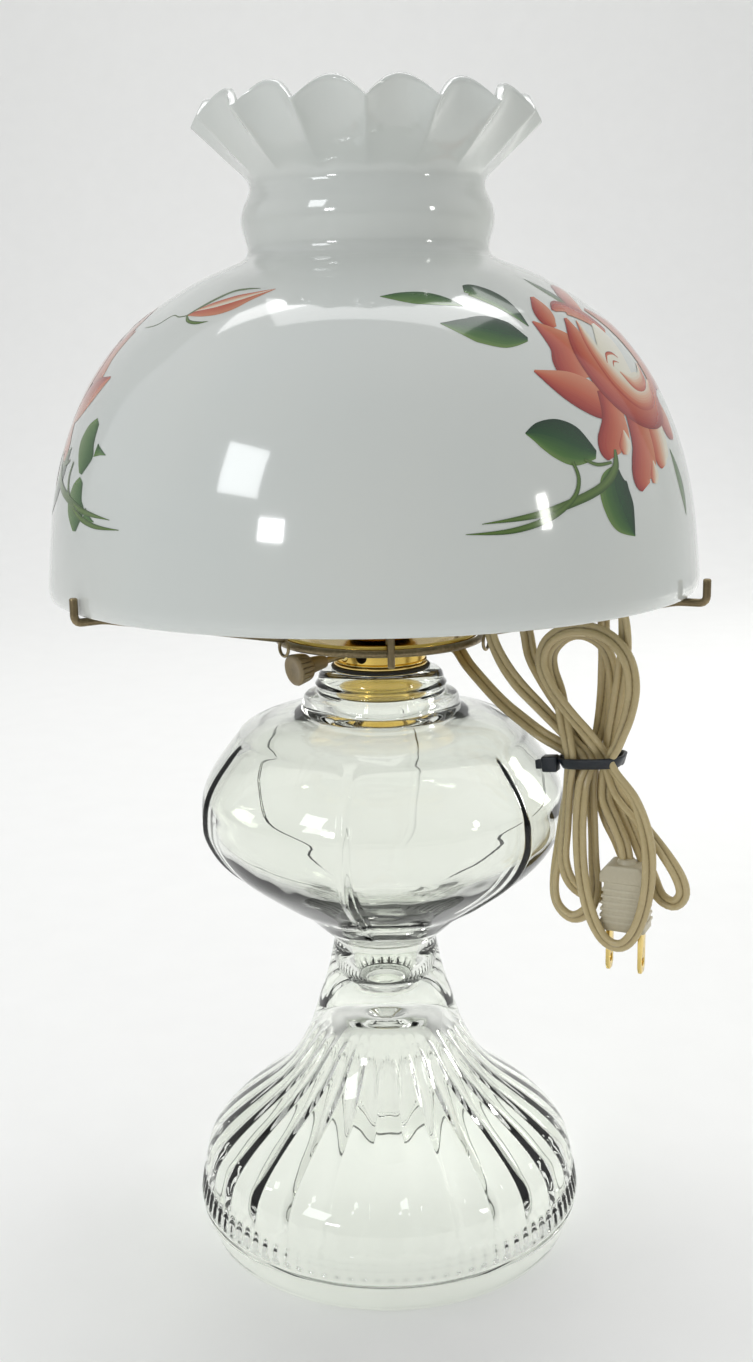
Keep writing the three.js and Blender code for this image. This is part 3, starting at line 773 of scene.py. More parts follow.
@dataclass(frozen=True)
class MetalFinish:
    """A metal with tarnish, fine scratches and bright worn edges."""

    name: str
    colour: Colour
    tarnish: Colour
    bright: Colour
    roughness: float = 0.2
    spread: float = 0.12
    tarnish_share: float = 0.5
    scratch: float = 0.05

    def build(self, effects: Effects) -> bpy.types.Material:
        """Makes the material.

        Args:
            effects: The shared node groups.

        Returns:
            The material.
        """
        material, nodes, shader = new_material(self.name)
        shader.inputs["Metallic"].default_value = 1.0
        uneven = nodes.group(effects.variation, Scale=70.0, Fine=5.0)
        share = nodes.maths("MULTIPLY", uneven.outputs["Value"], self.tarnish_share, clamp=True)
        body = nodes.mix(share, self.colour, self.tarnish)
        worn = nodes.group(effects.wear_and_hollow_shade, Start=0.53, End=0.62)
        nodes.wire(nodes.mix(worn.outputs["Mask"], body, self.bright), shader.inputs["Base Color"])
        nodes.wire(nodes.scaled(uneven.outputs["Value"], self.spread, self.roughness), shader.inputs["Roughness"])
        lines = nodes.group(effects.scratches, Scale=900.0)
        bump(nodes, lines.outputs["Height"], shader, self.scratch, 0.15)
        return material


@dataclass(frozen=True)
class PlasticFinish:
    """Moulded plastic or rubber with mottling, grain, worn edges, painted shade in hollows and a little dust."""

    name: str
    colour: Colour
    dark: Colour
    worn: Colour
    roughness: float = 0.45
    grain: float = 0.1
    dust: float = 0.15
    scale: float = 120.0

    def build(self, effects: Effects) -> bpy.types.Material:
        """Makes the material.

        Args:
            effects: The shared node groups.

        Returns:
            The material.
        """
        material, nodes, shader = new_material(self.name)
        uneven = nodes.group(effects.variation, Scale=self.scale, Fine=7.0)
        body = nodes.mix(uneven.outputs["Value"], self.dark, self.colour)
        edge = nodes.group(effects.wear_and_hollow_shade, Start=0.54, End=0.66)
        body = nodes.mix(edge.outputs["Mask"], body, self.worn)
        # Painted shade: hollows and grooves are darkened to about a third of the dark colour.
        hollow = nodes.group(effects.wear_and_hollow_shade, Start=0.49, End=0.42)
        body = nodes.mix(hollow.outputs["Mask"], body, tuple(c * 0.35 for c in self.dark))
        settled = nodes.group(effects.dust, Amount=self.dust)
        nodes.wire(nodes.mix(settled.outputs["Mask"], body, (0.55, 0.53, 0.5)), shader.inputs["Base Color"])
        nodes.wire(nodes.scaled(uneven.outputs["Value"], 0.15, self.roughness - 0.07), shader.inputs["Roughness"])
        bump(nodes, uneven.outputs["Height"], shader, self.grain, 0.2)
        return material


class Paint(Enum):
    """What the painter's brush was loaded with."""

    ROSE = "rose paint"
    BLUSH = "pale rose paint"
    CREAM = "cream paint"
    LEAF = "leaf paint"
    LIGHT_LEAF = "light leaf paint"
    STEM = "stem paint"


@dataclass(frozen=True)
class PaintFinish:
    """Brush strokes: a double-loaded brush across, streaks along, on the stroke's own UV map."""

    name: str
    stops: tuple[tuple[float, Colour], ...]
    streak: float = 0.35
    dark: Colour = (0.2, 0.02, 0.01)

    def build(self) -> bpy.types.Material:
        """Makes the material.

        Returns:
            The material.
        """
        material, nodes, shader = new_material(self.name)
        nodes.feed(shader, Roughness=0.12, IOR=1.5, Coat_Weight=0.6, Coat_Roughness=0.03)
        uv = nodes.add("ShaderNodeUVMap").outputs[0]
        stretch = nodes.add("ShaderNodeMapping")
        nodes.feed(stretch, Vector=uv, Scale=(22.0, 0.9, 1.0))
        streaks = nodes.noise(stretch.outputs[0], 1.0, 3.0)
        split = nodes.add("ShaderNodeSeparateXYZ")
        nodes.wire(uv, split.inputs[0])
        across = nodes.maths("ADD", split.outputs["X"], nodes.scaled(streaks, 0.3, -0.15), clamp=True)
        colour = nodes.ramp(across, self.stops)
        share = nodes.maths("MULTIPLY", nodes.maths("POWER", streaks, 2.0), self.streak, clamp=True)
        nodes.wire(nodes.mix(share, colour, self.dark), shader.inputs["Base Color"])
        return material


OPAL = OpalFinish()
GLASS = GlassFinish()
BRASS = MetalFinish("bright brass", (0.86, 0.62, 0.16), (0.62, 0.40, 0.09), (0.95, 0.78, 0.36), 0.14, 0.14, 0.6)
ANTIQUE = MetalFinish(
    "antique brass wire", (0.30, 0.235, 0.13), (0.09, 0.07, 0.045), (0.62, 0.50, 0.29), 0.24, 0.2, 0.9, 0.12
)
PLATED = MetalFinish("plated steel", (0.72, 0.73, 0.74), (0.5, 0.5, 0.5), (0.85, 0.86, 0.87), 0.22, 0.14, 0.5)
RUBBER = PlasticFinish("black rubber", (0.018, 0.019, 0.021), (0.009, 0.009, 0.01), (0.04, 0.04, 0.042), 0.62)
NYLON = PlasticFinish("dark navy nylon", (0.012, 0.017, 0.026), (0.006, 0.009, 0.014), (0.04, 0.05, 0.06), 0.34, 0.2)
PHENOLIC = PlasticFinish("phenolic", (0.035, 0.026, 0.02), (0.018, 0.013, 0.01), (0.08, 0.06, 0.05), 0.4)
FIBRE = PlasticFinish("fibre board", (0.20, 0.13, 0.07), (0.12, 0.075, 0.04), (0.3, 0.2, 0.12), 0.8, 0.4)
KHAKI = PlasticFinish("khaki plastic", (0.33, 0.25, 0.13), (0.22, 0.165, 0.08), (0.45, 0.36, 0.21), 0.4, 0.15, 0.2)
VINYL = PlasticFinish(
    "cord vinyl", (0.60, 0.49, 0.265), (0.46, 0.365, 0.185), (0.84, 0.75, 0.50), 0.24, 0.08, 0.0, 70.0
)
PLUG = PlasticFinish("plug vinyl", (0.60, 0.545, 0.40), (0.49, 0.44, 0.315), (0.75, 0.70, 0.55), 0.38, 0.2, 0.15)
FROSTED = PlasticFinish("frosted bulb glass", (0.86, 0.86, 0.83), (0.8, 0.8, 0.77), (0.9, 0.9, 0.88), 0.35, 0.05, 0.05)

CREAM: Colour = (0.78, 0.75, 0.62)
PAINTS = {
    Paint.ROSE: PaintFinish(
        "rose paint",
        (
            (0.0, (0.25, 0.016, 0.014)),
            (0.16, (0.40, 0.042, 0.026)),
            (0.5, (0.56, 0.12, 0.055)),
            (1.0, (0.66, 0.27, 0.15)),
        ),
    ),
    Paint.BLUSH: PaintFinish(
        "pale rose paint",
        ((0.0, (0.42, 0.05, 0.03)), (0.18, (0.58, 0.15, 0.075)), (0.5, (0.72, 0.42, 0.27)), (0.8, CREAM)),
        0.1,
    ),
    Paint.CREAM: PaintFinish("cream paint", ((0.0, CREAM), (1.0, (0.82, 0.80, 0.70))), 0.03),
    Paint.LEAF: PaintFinish(
        "leaf paint",
        (
            (0.0, (0.006, 0.035, 0.014)),
            (0.45, (0.014, 0.075, 0.02)),
            (0.8, (0.065, 0.17, 0.03)),
            (1.0, (0.17, 0.28, 0.07)),
        ),
        0.5,
        (0.005, 0.03, 0.01),
    ),
    Paint.LIGHT_LEAF: PaintFinish(
        "light leaf paint",
        ((0.0, (0.02, 0.085, 0.018)), (0.5, (0.06, 0.165, 0.028)), (1.0, (0.14, 0.25, 0.06))),
        0.5,
        (0.015, 0.06, 0.015),
    ),
    Paint.STEM: PaintFinish(
        "stem paint",
        ((0.0, (0.045, 0.095, 0.022)), (0.5, (0.125, 0.21, 0.045)), (1.0, (0.07, 0.13, 0.03))),
        0.3,
        (0.02, 0.06, 0.015),
    ),
}


def dress(piece: bpy.types.Object, material: bpy.types.Material, body: Body) -> bpy.types.Object:
    """Gives a new piece its material, slot and body.

    Args:
        piece: The new piece.
        material: Its material.
        body: The body that it rides on.

    Returns:
        The same piece.
    """
    piece.data.materials.clear()
    piece.data.materials.append(material)
    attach(piece, body.value)
    LOG.info("%s on %s: %d faces", piece.name, body.value, len(piece.data.polygons))
    return piece


# ---------------------------------------------------------------- heights that the sub-assemblies share
@dataclass(frozen=True)
class Levels:
    """Heights in mm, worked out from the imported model's pieces."""

    waist: float
    lip: float
    gasket_top: float
    body_low: float
    body_top: float
    dish_low: float
    dish_top: float
    ring: float
    shade_floor: float
    shade_shift: float

    @classmethod
    def read(cls) -> "Levels":
        """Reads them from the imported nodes' boxes.

        Returns:
            The heights.
        """

        def low(node: str) -> float:
            """The lowest height of a node's box."""
            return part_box(node)[0].z / MM

        def high(node: str) -> float:
            """The highest height of a node's box."""
            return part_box(node)[1].z / MM

        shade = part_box("shade")
        return cls(
            waist=high("glass_foot"),
            lip=high("glass_font"),
            gasket_top=high("neck_gasket"),
            body_low=low("burner_body"),
            body_top=high("burner_body"),
            dish_low=low("gallery_dish"),
            dish_top=high("gallery_dish"),
            ring=(low("tripod_ring") + high("tripod_ring")) / 2,
            shade_floor=shade[0].z / MM,
            shade_shift=(shade[0].x + shade[1].x) / 2 / MM,
        )


# ---------------------------------------------------------------- glass base
@dataclass
class GlassBase:
    """The pressed glass foot and font, one piece of glass."""

    levels: Levels
    panels: int = 6
    panel_start: float = -12.0  # azimuth of the first ridge between two panels
    panel_depth: float = 0.85
    ridge_half: float = 1.1
    ridge_rise: float = 0.45
    flutes: int = 28
    flute_depth: float = 1.9
    ribs: int = 96
    rib_depth: float = 0.8
    segments: int = 768

    def outline(self) -> list[Pair]:
        """The whole outline of the glass.

        Returns:
            (r, z) points in mm, from the top of the foot's hollow round to the bottom of the oil well.
        """
        z = self.levels.waist
        hollow = spline(
            [(0, 89.4), (2.2, 89.2), (4.2, 90.6), (6.4, 91.8), (10, 91.3), (15, 89.2), (21, 82)]
            + [(33, 67), (52, 52.5), (67.5, 38), (72.9, 24), (73.5, 14)],
            9,
        )
        rest = [(72.6, 6), (70.6, 1.2), (71.2, 0.35), (71.9, 0.0), (73.6, 0.0), (74.8, 0.3), (76.2, 1.2)]
        ring = [(76.9, 3), (78.4, 7), (80.0, 11), (80.6, 12.6), (80.5, 13.4), (78.9, 14.0), (80.5, 14.6), (81.0, 15.2)]
        bell = spline(
            [(80.95, 16.2), (80.3, 20.5), (79.4, 24.5), (78.9, 27.5), (76.6, 36), (71, 43.3), (62.9, 51.1)]
            + [(44.3, 66.5), (34.2, 82), (28.9, 96.7), (24.2, 111.5), (21.4, z - 3.2)],
            7,
        )
        waist = [(21.2, z - 1.2), (21.6, z), (23.4, z + 1.7)]
        bowl = spline(
            [(25.5, z + 3.3), (35.1, z + 12), (48.1, z + 20.5), (65.4, z + 34.3), (73.6, z + 46.8), (75.1, z + 57)]
            + [(72.9, z + 67.3), (66, z + 78.2), (54.5, z + 90.4), (34.6, z + 96.3)],
            9,
        )
        t = self.levels.lip
        neck = [(32.4, t - 15.0), (31.9, t - 14.2), (31.8, t - 13.0), (31.2, t - 11.0), (30.0, t - 10.1)]
        neck += [(27.6, t - 9.7), (26.2, t - 9.2), (25.75, t - 8.2), (25.7, t - 7.2), (26.2, t - 6.6)]
        neck += [(26.6, t - 6.0), (26.3, t - 5.4), (25.6, t - 4.8), (25.4, t - 3.6), (24.9, t - 1.9), (23.7, t - 0.7)]
        neck += [(22.0, t - 0.1), (20.2, t), (19.0, t - 0.1), (18.4, t - 0.6), (18.3, t - 1.6), (18.3, t - 12.0)]
        inside = spline(
            [(18.3, t - 14.2), (23.3, z + 93.2), (48.6, z + 87.5), (61.1, z + 76.5), (69.3, z + 65), (70.6, z + 57)]
            + [(69, z + 47.5), (60.9, z + 37), (43.6, z + 24), (30.6, z + 16.5), (15.3, z + 8)],
            7,
        )
        well = [(14.6, z + 2), (14.4, z - 8), (14.0, z - 16), (12.6, z - 19.6), (9.5, z - 21.6)]
        well += [(5, z - 22.3), (0, z - 22.4)]
        return hollow + rest + ring + bell + waist + bowl + neck + inside + well

    def _bend(self, outline: Sequence[Pair]) -> Bend:
        """Presses panels, flutes and ribs into the glass.

        Args:
            outline: The whole outline.

        Returns:
            The bend for revolve.
        """
        rows = np.arange(len(outline))[:, None]
        radii, heights = np.array(outline)[:, :1], np.array(outline)[:, 1:]
        rest_row, lip_row = int(np.argmin(heights)), int(np.argmax(heights))
        hollow = rows < rest_row
        outer = (rows >= rest_row) & (rows <= lip_row)
        z = self.levels.waist

        def bend(r: np.ndarray, h: np.ndarray, angle: np.ndarray) -> tuple[np.ndarray, np.ndarray]:
            """Presses the pattern at every row and angle.

            Args:
                r: Radii, as rows.
                h: Heights, as rows.
                angle: Angles, as one row.

            Returns:
                The changed radii and the heights.
            """
            azimuth = np.degrees(angle) + 90.0 - self.panel_start
            step = 360.0 / self.panels
            off = np.abs((azimuth + step / 2) % step - step / 2)
            side = np.radians(off) * np.maximum(radii, 12.0)
            flat = smoothstep(self.ridge_half, self.ridge_half + 1.6, side)
            corner = np.radians(step / 2 - off) / math.radians(step / 2)
            top = z + 88.0 - 6.0 * (1 - np.sqrt(np.clip(1 - np.clip(corner, 0, 1) ** 6, 0, 1)))
            in_panel = smoothstep(0, 2.2, top - heights) * smoothstep(z + 5, z + 22, heights)
            ridge = np.exp(-((side / (self.ridge_half * 0.9)) ** 2)) * smoothstep(0, 5.0, top + 2 - heights)
            ridge = ridge * smoothstep(z + 2, z + 14, heights)
            bulge = -self.panel_depth * flat * in_panel + self.ridge_rise * ridge
            bowl = outer & (heights > z + 2) & (heights < z + 95)
            r = r + np.where(bowl, bulge, 0.0)
            wave = np.abs(np.cos(self.flutes / 2 * angle)) - 0.62
            fluted = smoothstep(19, 33, heights) * (1 - smoothstep(80, 89, heights)) * smoothstep(14, 30, radii)
            r = r + np.where(hollow, -self.flute_depth * wave * fluted, 0.0)
            rib = np.clip(np.abs(np.sin(self.ribs / 2 * angle)) * 1.5 - 0.5, 0, 1)
            band = smoothstep(16.2, 17.8, heights) * (1 - smoothstep(23.5, 26.5, heights))
            r = r + np.where(outer, -self.rib_depth * (1 - rib) * band, 0.0)
            return r, h

        return bend

    def build(self) -> None:
        """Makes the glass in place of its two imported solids."""
        outline = self.outline()
        piece = revolve("glass_base", outline, self.segments, self._bend(outline), 55)
        dress(piece, GLASS.build(), Body.ROOT)
        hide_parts("glass_foot", "glass_font")


# ---------------------------------------------------------------- burner
@dataclass
class Burner:
    """The brass collar, drum and gallery dish, with the gasket under them."""

    levels: Levels
    effects: Effects
    brass: bpy.types.Material
    radius: float = 18.2
    vent_radius: float = 2.35
    vent_azimuth: float = -25.0
    knob_azimuth: float = -53.0
    knob_droop: float = 7.0
    cord_azimuth: float = 112.0
    segments: int = 192

    def gasket(self) -> None:
        """The black ring on the glass lip."""
        low, high = self.levels.lip + 0.15, self.levels.gasket_top
        outline = [(18.1, low), (19.5, low), (19.9, low + 0.35), (20.0, high - 0.5), (19.6, high), (18.1, high)]
        piece = revolve("lip_gasket", outline, self.segments)
        dress(piece, RUBBER.build(self.effects), Body.ROOT)
        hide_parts("neck_gasket")

    def collar(self) -> None:
        """The sleeve in the mouth with its rolled flange."""
        top = self.levels.gasket_top
        flange = [(18.0, top + 0.05), (18.7, top + 0.1), (18.9, top + 0.5), (18.8, top + 1.0), (18.3, top + 1.3)]
        outline = [(16.4, top - 14.3), (17.8, top - 14.3), *flange, (16.4, top + 1.3)]
        piece = revolve("brass_collar", outline, self.segments)
        dress(piece, self.brass, Body.ROOT)
        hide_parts("burner_collar")

    def _cutter(self, azimuth: float, z: float, radius: float, droop: float = 0.0) -> bpy.types.Object:
        """A round bar through the drum's wall, to cut a hole.

        Args:
            azimuth: The hole's azimuth in degrees.
            z: Its height in mm.
            radius: Its radius in mm.
            droop: Degrees that it slopes down outwards.

        Returns:
            The bar.
        """
        down = math.sin(math.radians(droop))
        start = polar(self.radius - 5, azimuth, z - (self.radius - 5) * down)
        end = polar(self.radius + 5, azimuth, z - (self.radius + 5) * down)
        return sweep("cutter", [start, end], round_section(radius, 40), Vector((0, 0, 1)))

    def drum(self) -> None:
        """The low drum with its round hole and the holes for the shaft and the cord."""
        low, high, r = self.levels.body_low, self.levels.body_top, self.radius
        skirt = [(r - 0.9, low), (r + 0.35, low), (r + 0.5, low + 0.35), (r + 0.3, low + 0.75), (r, low + 1.0)]
        wall = [(r, low + 3.5), (r, high - 1.2), (r - 0.15, high - 0.5), (r - 0.6, high - 0.1), (r - 1.2, high)]
        lid = [(5.2, high), (5.2, high - 1.0), (r - 1.6, high - 1.0), (r - 0.9, high - 1.6), (r - 0.9, low + 3.5)]
        piece = revolve("burner_drum", skirt + wall + lid, self.segments)
        vent = self._cutter(self.vent_azimuth, (low + high) / 2, self.vent_radius)
        shaft_hole = self._cutter(self.knob_azimuth, low + 6.2, 2.9, self.knob_droop)
        cord_hole = self._cutter(self.cord_azimuth, low + 3.4, 3.2)
        cut(piece, [vent, shaft_hole, cord_hole])
        smooth(piece.data, 35)
        dress(piece, self.brass, Body.ROOT)
        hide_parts("burner_body")

    def dish(self) -> None:
        """The shallow gallery dish with a stepped wall and a rolled edge."""
        low, rim = self.levels.dish_low, self.levels.dish_top - 1.2
        under = spline([(22, low), (25, low + 0.25), (30.8, low + 1.6), (34.6, low + 2.1), (36.8, rim - 1.2)], 5)
        bead = arc((38, rim), 1.2, 232, 500, 20)
        above = spline([(36.3, rim - 0.6), (34.2, low + 2.9), (30.4, low + 2.4), (25, low + 1.05), (22, low + 0.8)], 5)
        outline = [(5.2, low), (12, low), (12.6, low), *under, *bead, *above, (12.6, low + 0.8), (5.2, low + 0.8)]
        piece = revolve("brass_dish", outline, self.segments)
        dress(piece, self.brass, Body.ROOT)
        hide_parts("gallery_dish")

    def build(self) -> None:
        """Makes every piece."""
        self.gasket()
        self.collar()
        self.drum()
        self.dish()


@dataclass
class SwitchKnob:
    """The ribbed knob on its thin shaft."""

    levels: Levels
    effects: Effects
    brass: bpy.types.Material
    azimuth: float = -53.0
    droop: float = 7.0
    rise: float = 6.2
    reach: float = 43.0
    thickness: float = 7.0
    boss_length: float = 8.2
    flutes: int = 18

    def _onto_shaft(self, piece: bpy.types.Object) -> bpy.types.Object:
        """Turns a piece made along +Z onto the shaft line.

        Args:
            piece: The piece to turn.

        Returns:
            The same piece.
        """
        out = polar(math.cos(math.radians(self.droop)), self.azimuth, -math.sin(math.radians(self.droop)))
        turn = Vector((0, 0, 1)).rotation_difference(out).to_matrix().to_4x4()
        return place(piece, Matrix.Translation((0, 0, self.levels.body_low + self.rise)) @ turn)

    def knob(self) -> None:
        """The knob: a flat face, a ribbed cone and a tapered boss with a set screw."""
        face, back = self.reach, self.reach - self.thickness
        start = back - self.boss_length
        rim = [(0, face - 0.25), (3.6, face - 0.25), (4.2, face), (5.5, face), (6.0, face - 0.25), (6.3, face - 0.9)]
        flank = [(6.2, face - 1.6), (5.95, face - 3.2), (5.6, back + 1.6), (5.3, back + 0.7), (5.0, back + 0.15)]
        boss = [(4.2, back - 0.25), (3.5, back - 0.7), (3.3, back - 1.6), (2.9, start + 3), (2.65, start + 0.6)]
        end = [(2.35, start), (1.4, start), (1.4, start + 4), (0, start + 4)]
        outline = rim + flank + boss + end

        def grooves(r: np.ndarray, z: np.ndarray, angle: np.ndarray) -> tuple[np.ndarray, np.ndarray]:
            """Cuts the ribs between the face and the back.

            Args:
                r: Radii, as rows.
                z: Heights, as rows.
                angle: Angles, as one row.

            Returns:
                The changed radii and the heights.
            """
            on_flank = smoothstep(back + 0.1, back + 0.9, z) * (1 - smoothstep(face - 1.5, face - 0.7, z))
            groove = np.clip(1 - np.abs(np.sin(self.flutes / 2 * angle)) * 2.6, 0, 1)
            return r - np.where(r > 4.6, 0.75 * groove * on_flank, 0.0), z

        piece = revolve("ribbed_knob", outline, self.flutes * 12, grooves, 50)
        screw = sweep("screw", [(0, 0, start + 3.2), (0, 6, start + 3.2)], round_section(0.75, 20), Vector((0, 0, 1)))
        cut(piece, [screw])
        smooth(piece.data, 50)
        dress(self._onto_shaft(piece), KHAKI.build(self.effects), Body.KNOB)
        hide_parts("switch_knob")
        slot = revolve("set_screw", [(0, 0), (0.6, 0), (0.7, 0.1), (0.7, 1.4), (0, 1.4)], 24)
        place(slot, Matrix.Translation((0, 1.5, start + 3.2)) @ Matrix.Rotation(-math.pi / 2, 4, "X"))
        dress(self._onto_shaft(slot), PLATED.build(self.effects), Body.KNOB)

    def shaft(self, antique: bpy.types.Material) -> None:
        """The shaft and its threaded bushing.

        Args:
            antique: The dark brass of the shaft.
        """
        end = self.reach - self.thickness - self.boss_length + 3.6
        bar = [(0, 9.6), (1.2, 9.6), (1.3, 9.8), (1.3, end - 0.2), (1.15, end), (0, end)]
        shaft = self._onto_shaft(revolve("thin_shaft", bar, 32))
        dress(shaft, antique, Body.KNOB)
        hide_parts("knob_shaft")
        low = 15.6
        threads = [(2.6 if i % 2 else 2.35, low + 0.25 + 0.2 * i) for i in range(14)]
        outline = [(1.6, low), (2.3, low), *threads, (2.2, low + 3.4), (1.6, low + 3.4)]
        bushing = self._onto_shaft(revolve("threaded_bushing", outline, 48, None, 70))
        dress(bushing, self.brass, Body.ROOT)
        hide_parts("shaft_bushing")

    def build(self, antique: bpy.types.Material) -> None:
        """Makes the knob and shaft."""
        self.knob()
        self.shaft(antique)


# ---------------------------------------------------------------- socket and bulb
@dataclass
class SocketAndBulb:
    """The socket over the dish, and the bulb in it. They show from below and through the crown."""

    effects: Effects
    brass: bpy.types.Material
    pitch: float = 3.6

    def _threads(self, radius: float, low: float, high: float, relief: float) -> list[Pair]:
        """Rolled threads as a wave between two heights.

        Args:
            radius: Radius of the crests in mm.
            low: Where they start, in mm.
            high: Where they end, in mm.
            relief: Depth in mm.

        Returns:
            (r, z) points in mm.
        """
        steps = round((high - low) / self.pitch * 12)
        return [
            (radius - relief * (0.5 - 0.5 * math.cos(2 * math.pi * k / 12)), low + (high - low) * k / steps)
            for k in range(steps + 1)
        ]

    def shell(self) -> None:
        """The socket's brass shell with two rolled beads."""
        low, top = (corner.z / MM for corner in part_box("socket_shell"))
        cap = [(5.2, low), (11, low), (12.6, low + 0.2), (14.6, low + 1.6), (15.7, low + 3.2), (16.2, low + 5)]
        bead = [(16.2, low + 15), (16.6, low + 15.5), (16.8, low + 16.2), (16.6, low + 16.9), (16.2, low + 17.4)]
        mouth = [(16.2, top - 2.2), (16.5, top - 1.5), (16.7, top - 0.6), (16.3, top), (15.6, top - 0.4)]
        outline = cap + bead + mouth + [(15.6, low + 5), (15.1, low + 3.4), (11, low + 0.6), (5.2, low + 0.6)]
        piece = revolve("brass_shell", outline, 128)
        dress(piece, self.brass, Body.ROOT)
        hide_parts("socket_shell")

    def bulb(self) -> None:
        """The frosted bulb and its threaded cap."""
        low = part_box("bulb_contact")[0].z / MM
        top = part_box("bulb_glass")[1].z / MM
        centre, neck = top - 30, low + 18.6
        outside = spline(
            [(10.9, neck), (10.9, neck + 6), (12.2, neck + 11)]
            + [(17.5, centre - 29), (24.4, centre - 17.5), (28.9, centre - 8)],
            8,
        )
        outside += arc((0, centre), 30, -10, 90, 28)
        inside = [(max(r - 0.8, 0.0), z - 0.8 * max(0.0, (z - centre) / 30)) for r, z in reversed(outside)]
        glass = revolve("frosted_bulb", outside[:-1] + [(0, top)] + [(0, top - 0.8)] + inside[1:], 96)
        dress(glass, FROSTED.build(self.effects), Body.BULB)
        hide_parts("bulb_glass")
        cap_low, cap_top = low + 2.9, low + 24
        wave = self._threads(12.45, cap_low + 2.2, cap_low + 2.2 + 5 * self.pitch, 0.8)
        outline = [(0, low + 1.5), (6.5, low + 1.5), (9.4, low + 1.9), (11.8, cap_low), *wave, (12.2, cap_top)]
        outline += [(11.4, cap_top), (11.4, cap_low + 2.6), (0, cap_low + 2.6)]
        cap = revolve("threaded_cap", outline, 96)
        dress(cap, PLATED.build(self.effects), Body.BULB)
        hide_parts("bulb_cap")

    def carried_over(self, nodes: dict[str, bpy.types.Object]) -> None:
        """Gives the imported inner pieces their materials.

        Args:
            nodes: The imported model's nodes.
        """
        finishes = {
            "socket_liner": FIBRE.build(self.effects),
            "socket_base": PHENOLIC.build(self.effects),
            "switch_housing": PHENOLIC.build(self.effects),
            "cord_bushing": PHENOLIC.build(self.effects),
            "socket_screw_shell": PLATED.build(self.effects),
            "threaded_nipple": PLATED.build(self.effects),
            "nipple_locknut": PLATED.build(self.effects),
            "bulb_contact": PLATED.build(self.effects),
            "centre_contact": self.brass,
        }
        for name, material in finishes.items():
            node = nodes[name]
            node.data.materials.clear()
            node.data.materials.append(material)
            smooth(node.data, 30)

    def build(self, nodes: dict[str, bpy.types.Object]) -> None:
        """Makes the shell and bulb and dresses the rest.

        Args:
            nodes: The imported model's nodes.
        """
        self.shell()
        self.bulb()
        self.carried_over(nodes)


# ---------------------------------------------------------------- tripod
@dataclass
class Tripod:
    """Wire ring round the gallery, three arms with eyes and hooks, and three clips."""

    levels: Levels
    antique: bpy.types.Material
    wire: float = 3.0
    ring_radius: float = 41.0
    arms: tuple[float, ...] = (65.0, -55.0, 185.0)
    clips: tuple[float, ...] = (5.0, 125.0, 245.0)
    inner_rise: float = 3.4
    rise: float = 16.2
    level_from: float = 120.0
    hook_radius: float = 131.1
    hook_height: float = 9.0

    def ring(self) -> None:
        """The ring that hugs the dish's edge."""
        outline = arc((self.ring_radius, self.levels.ring), self.wire / 2, 0, 360, 16)[:-1]
        piece = revolve("wire_ring", outline, 160)
        dress(piece, self.antique, Body.ROOT)
        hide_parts("tripod_ring")

    def _capped(self, name: str, path: Sequence[Vector], radius: float) -> bpy.types.Object:
        """A wire with rounded ends.

        Args:
            name: The piece's name.
            path: The wire's line in mm.
            radius: Its radius in mm.

        Returns:
            The wire.
        """
        piece = sweep(name, resample(path, 0.9), round_section(radius, 18), Vector((0, 0, 1)), sharp=80)
        bevel(piece, radius * 0.45, 3, 60)
        return piece

    def arm(self, number: int, azimuth: float) -> None:
        """One arm with the small eye at its inner end.

        Args:
            number: The arm's number.
            azimuth: Its azimuth in degrees.
        """
        inner = self.ring_radius + self.wire + 0.3
        start = self.levels.ring + self.inner_rise
        level = start + self.rise
        corners = [
            polar(inner, azimuth, start),
            polar(self.level_from, azimuth, level),
            polar(self.hook_radius, azimuth, level),
            polar(self.hook_radius, azimuth, level + self.hook_height),
        ]
        rod = self._capped(f"arm_rod_{number}", bent_path(corners, 2.8), self.wire / 2)
        centre = polar(inner + 1.2, azimuth, start - 3.2)
        side = polar(1, azimuth + 90, 0)
        turns = [
            centre + (side * math.cos(a) + Vector((0, 0, 1)) * math.sin(a)) * 3.2
            for a in np.linspace(0, 2 * math.pi, 40, endpoint=False)
        ]
        eye = sweep("eye", turns, round_section(0.65, 12), polar(1, azimuth, 0), closed=True, sharp=80)
        piece = join(f"wire_arm_{number}", [rod, eye])
        dress(piece, self.antique, Body.ROOT)
        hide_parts(f"tripod_arm_{number}")

    def clip(self, number: int, azimuth: float) -> None:
        """One J-shaped clip over the dish's edge.

        Args:
            number: The clip's number.
            azimuth: Its azimuth in degrees.
        """
        outer = self.ring_radius + self.wire + 0.3
        inner, top = 37.6, self.levels.ring + 9.8
        corners = [
            polar(outer, azimuth, self.levels.ring - 5),
            polar(outer, azimuth, top),
            polar(inner, azimuth, top),
            polar(inner, azimuth, self.levels.dish_top + 0.3),
        ]
        piece = self._capped(f"wire_clip_{number}", bent_path(corners, (outer - inner) / 2.05, 12), self.wire / 2 - 0.1)
        dress(piece, self.antique, Body.ROOT)
        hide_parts(f"tripod_clip_{number}")

    def build(self) -> None:
        """Makes every wire."""
        self.ring()
        for i, azimuth in enumerate(self.arms, 1):
            self.arm(i, azimuth)
        for i, azimuth in enumerate(self.clips, 1):
            self.clip(i, azimuth)


# ---------------------------------------------------------------- shade
@dataclass(frozen=True)
class Stroke:
    """One brush stroke on the shade's dome.

    Its line is given by azimuth in degrees and height in mm over the shade's floor, its width in mm at each
    point. The loaded side of the brush is on the left of the line's direction.
    """

    line: tuple[Pair, ...]
    widths: tuple[float, ...]
    paint: Paint


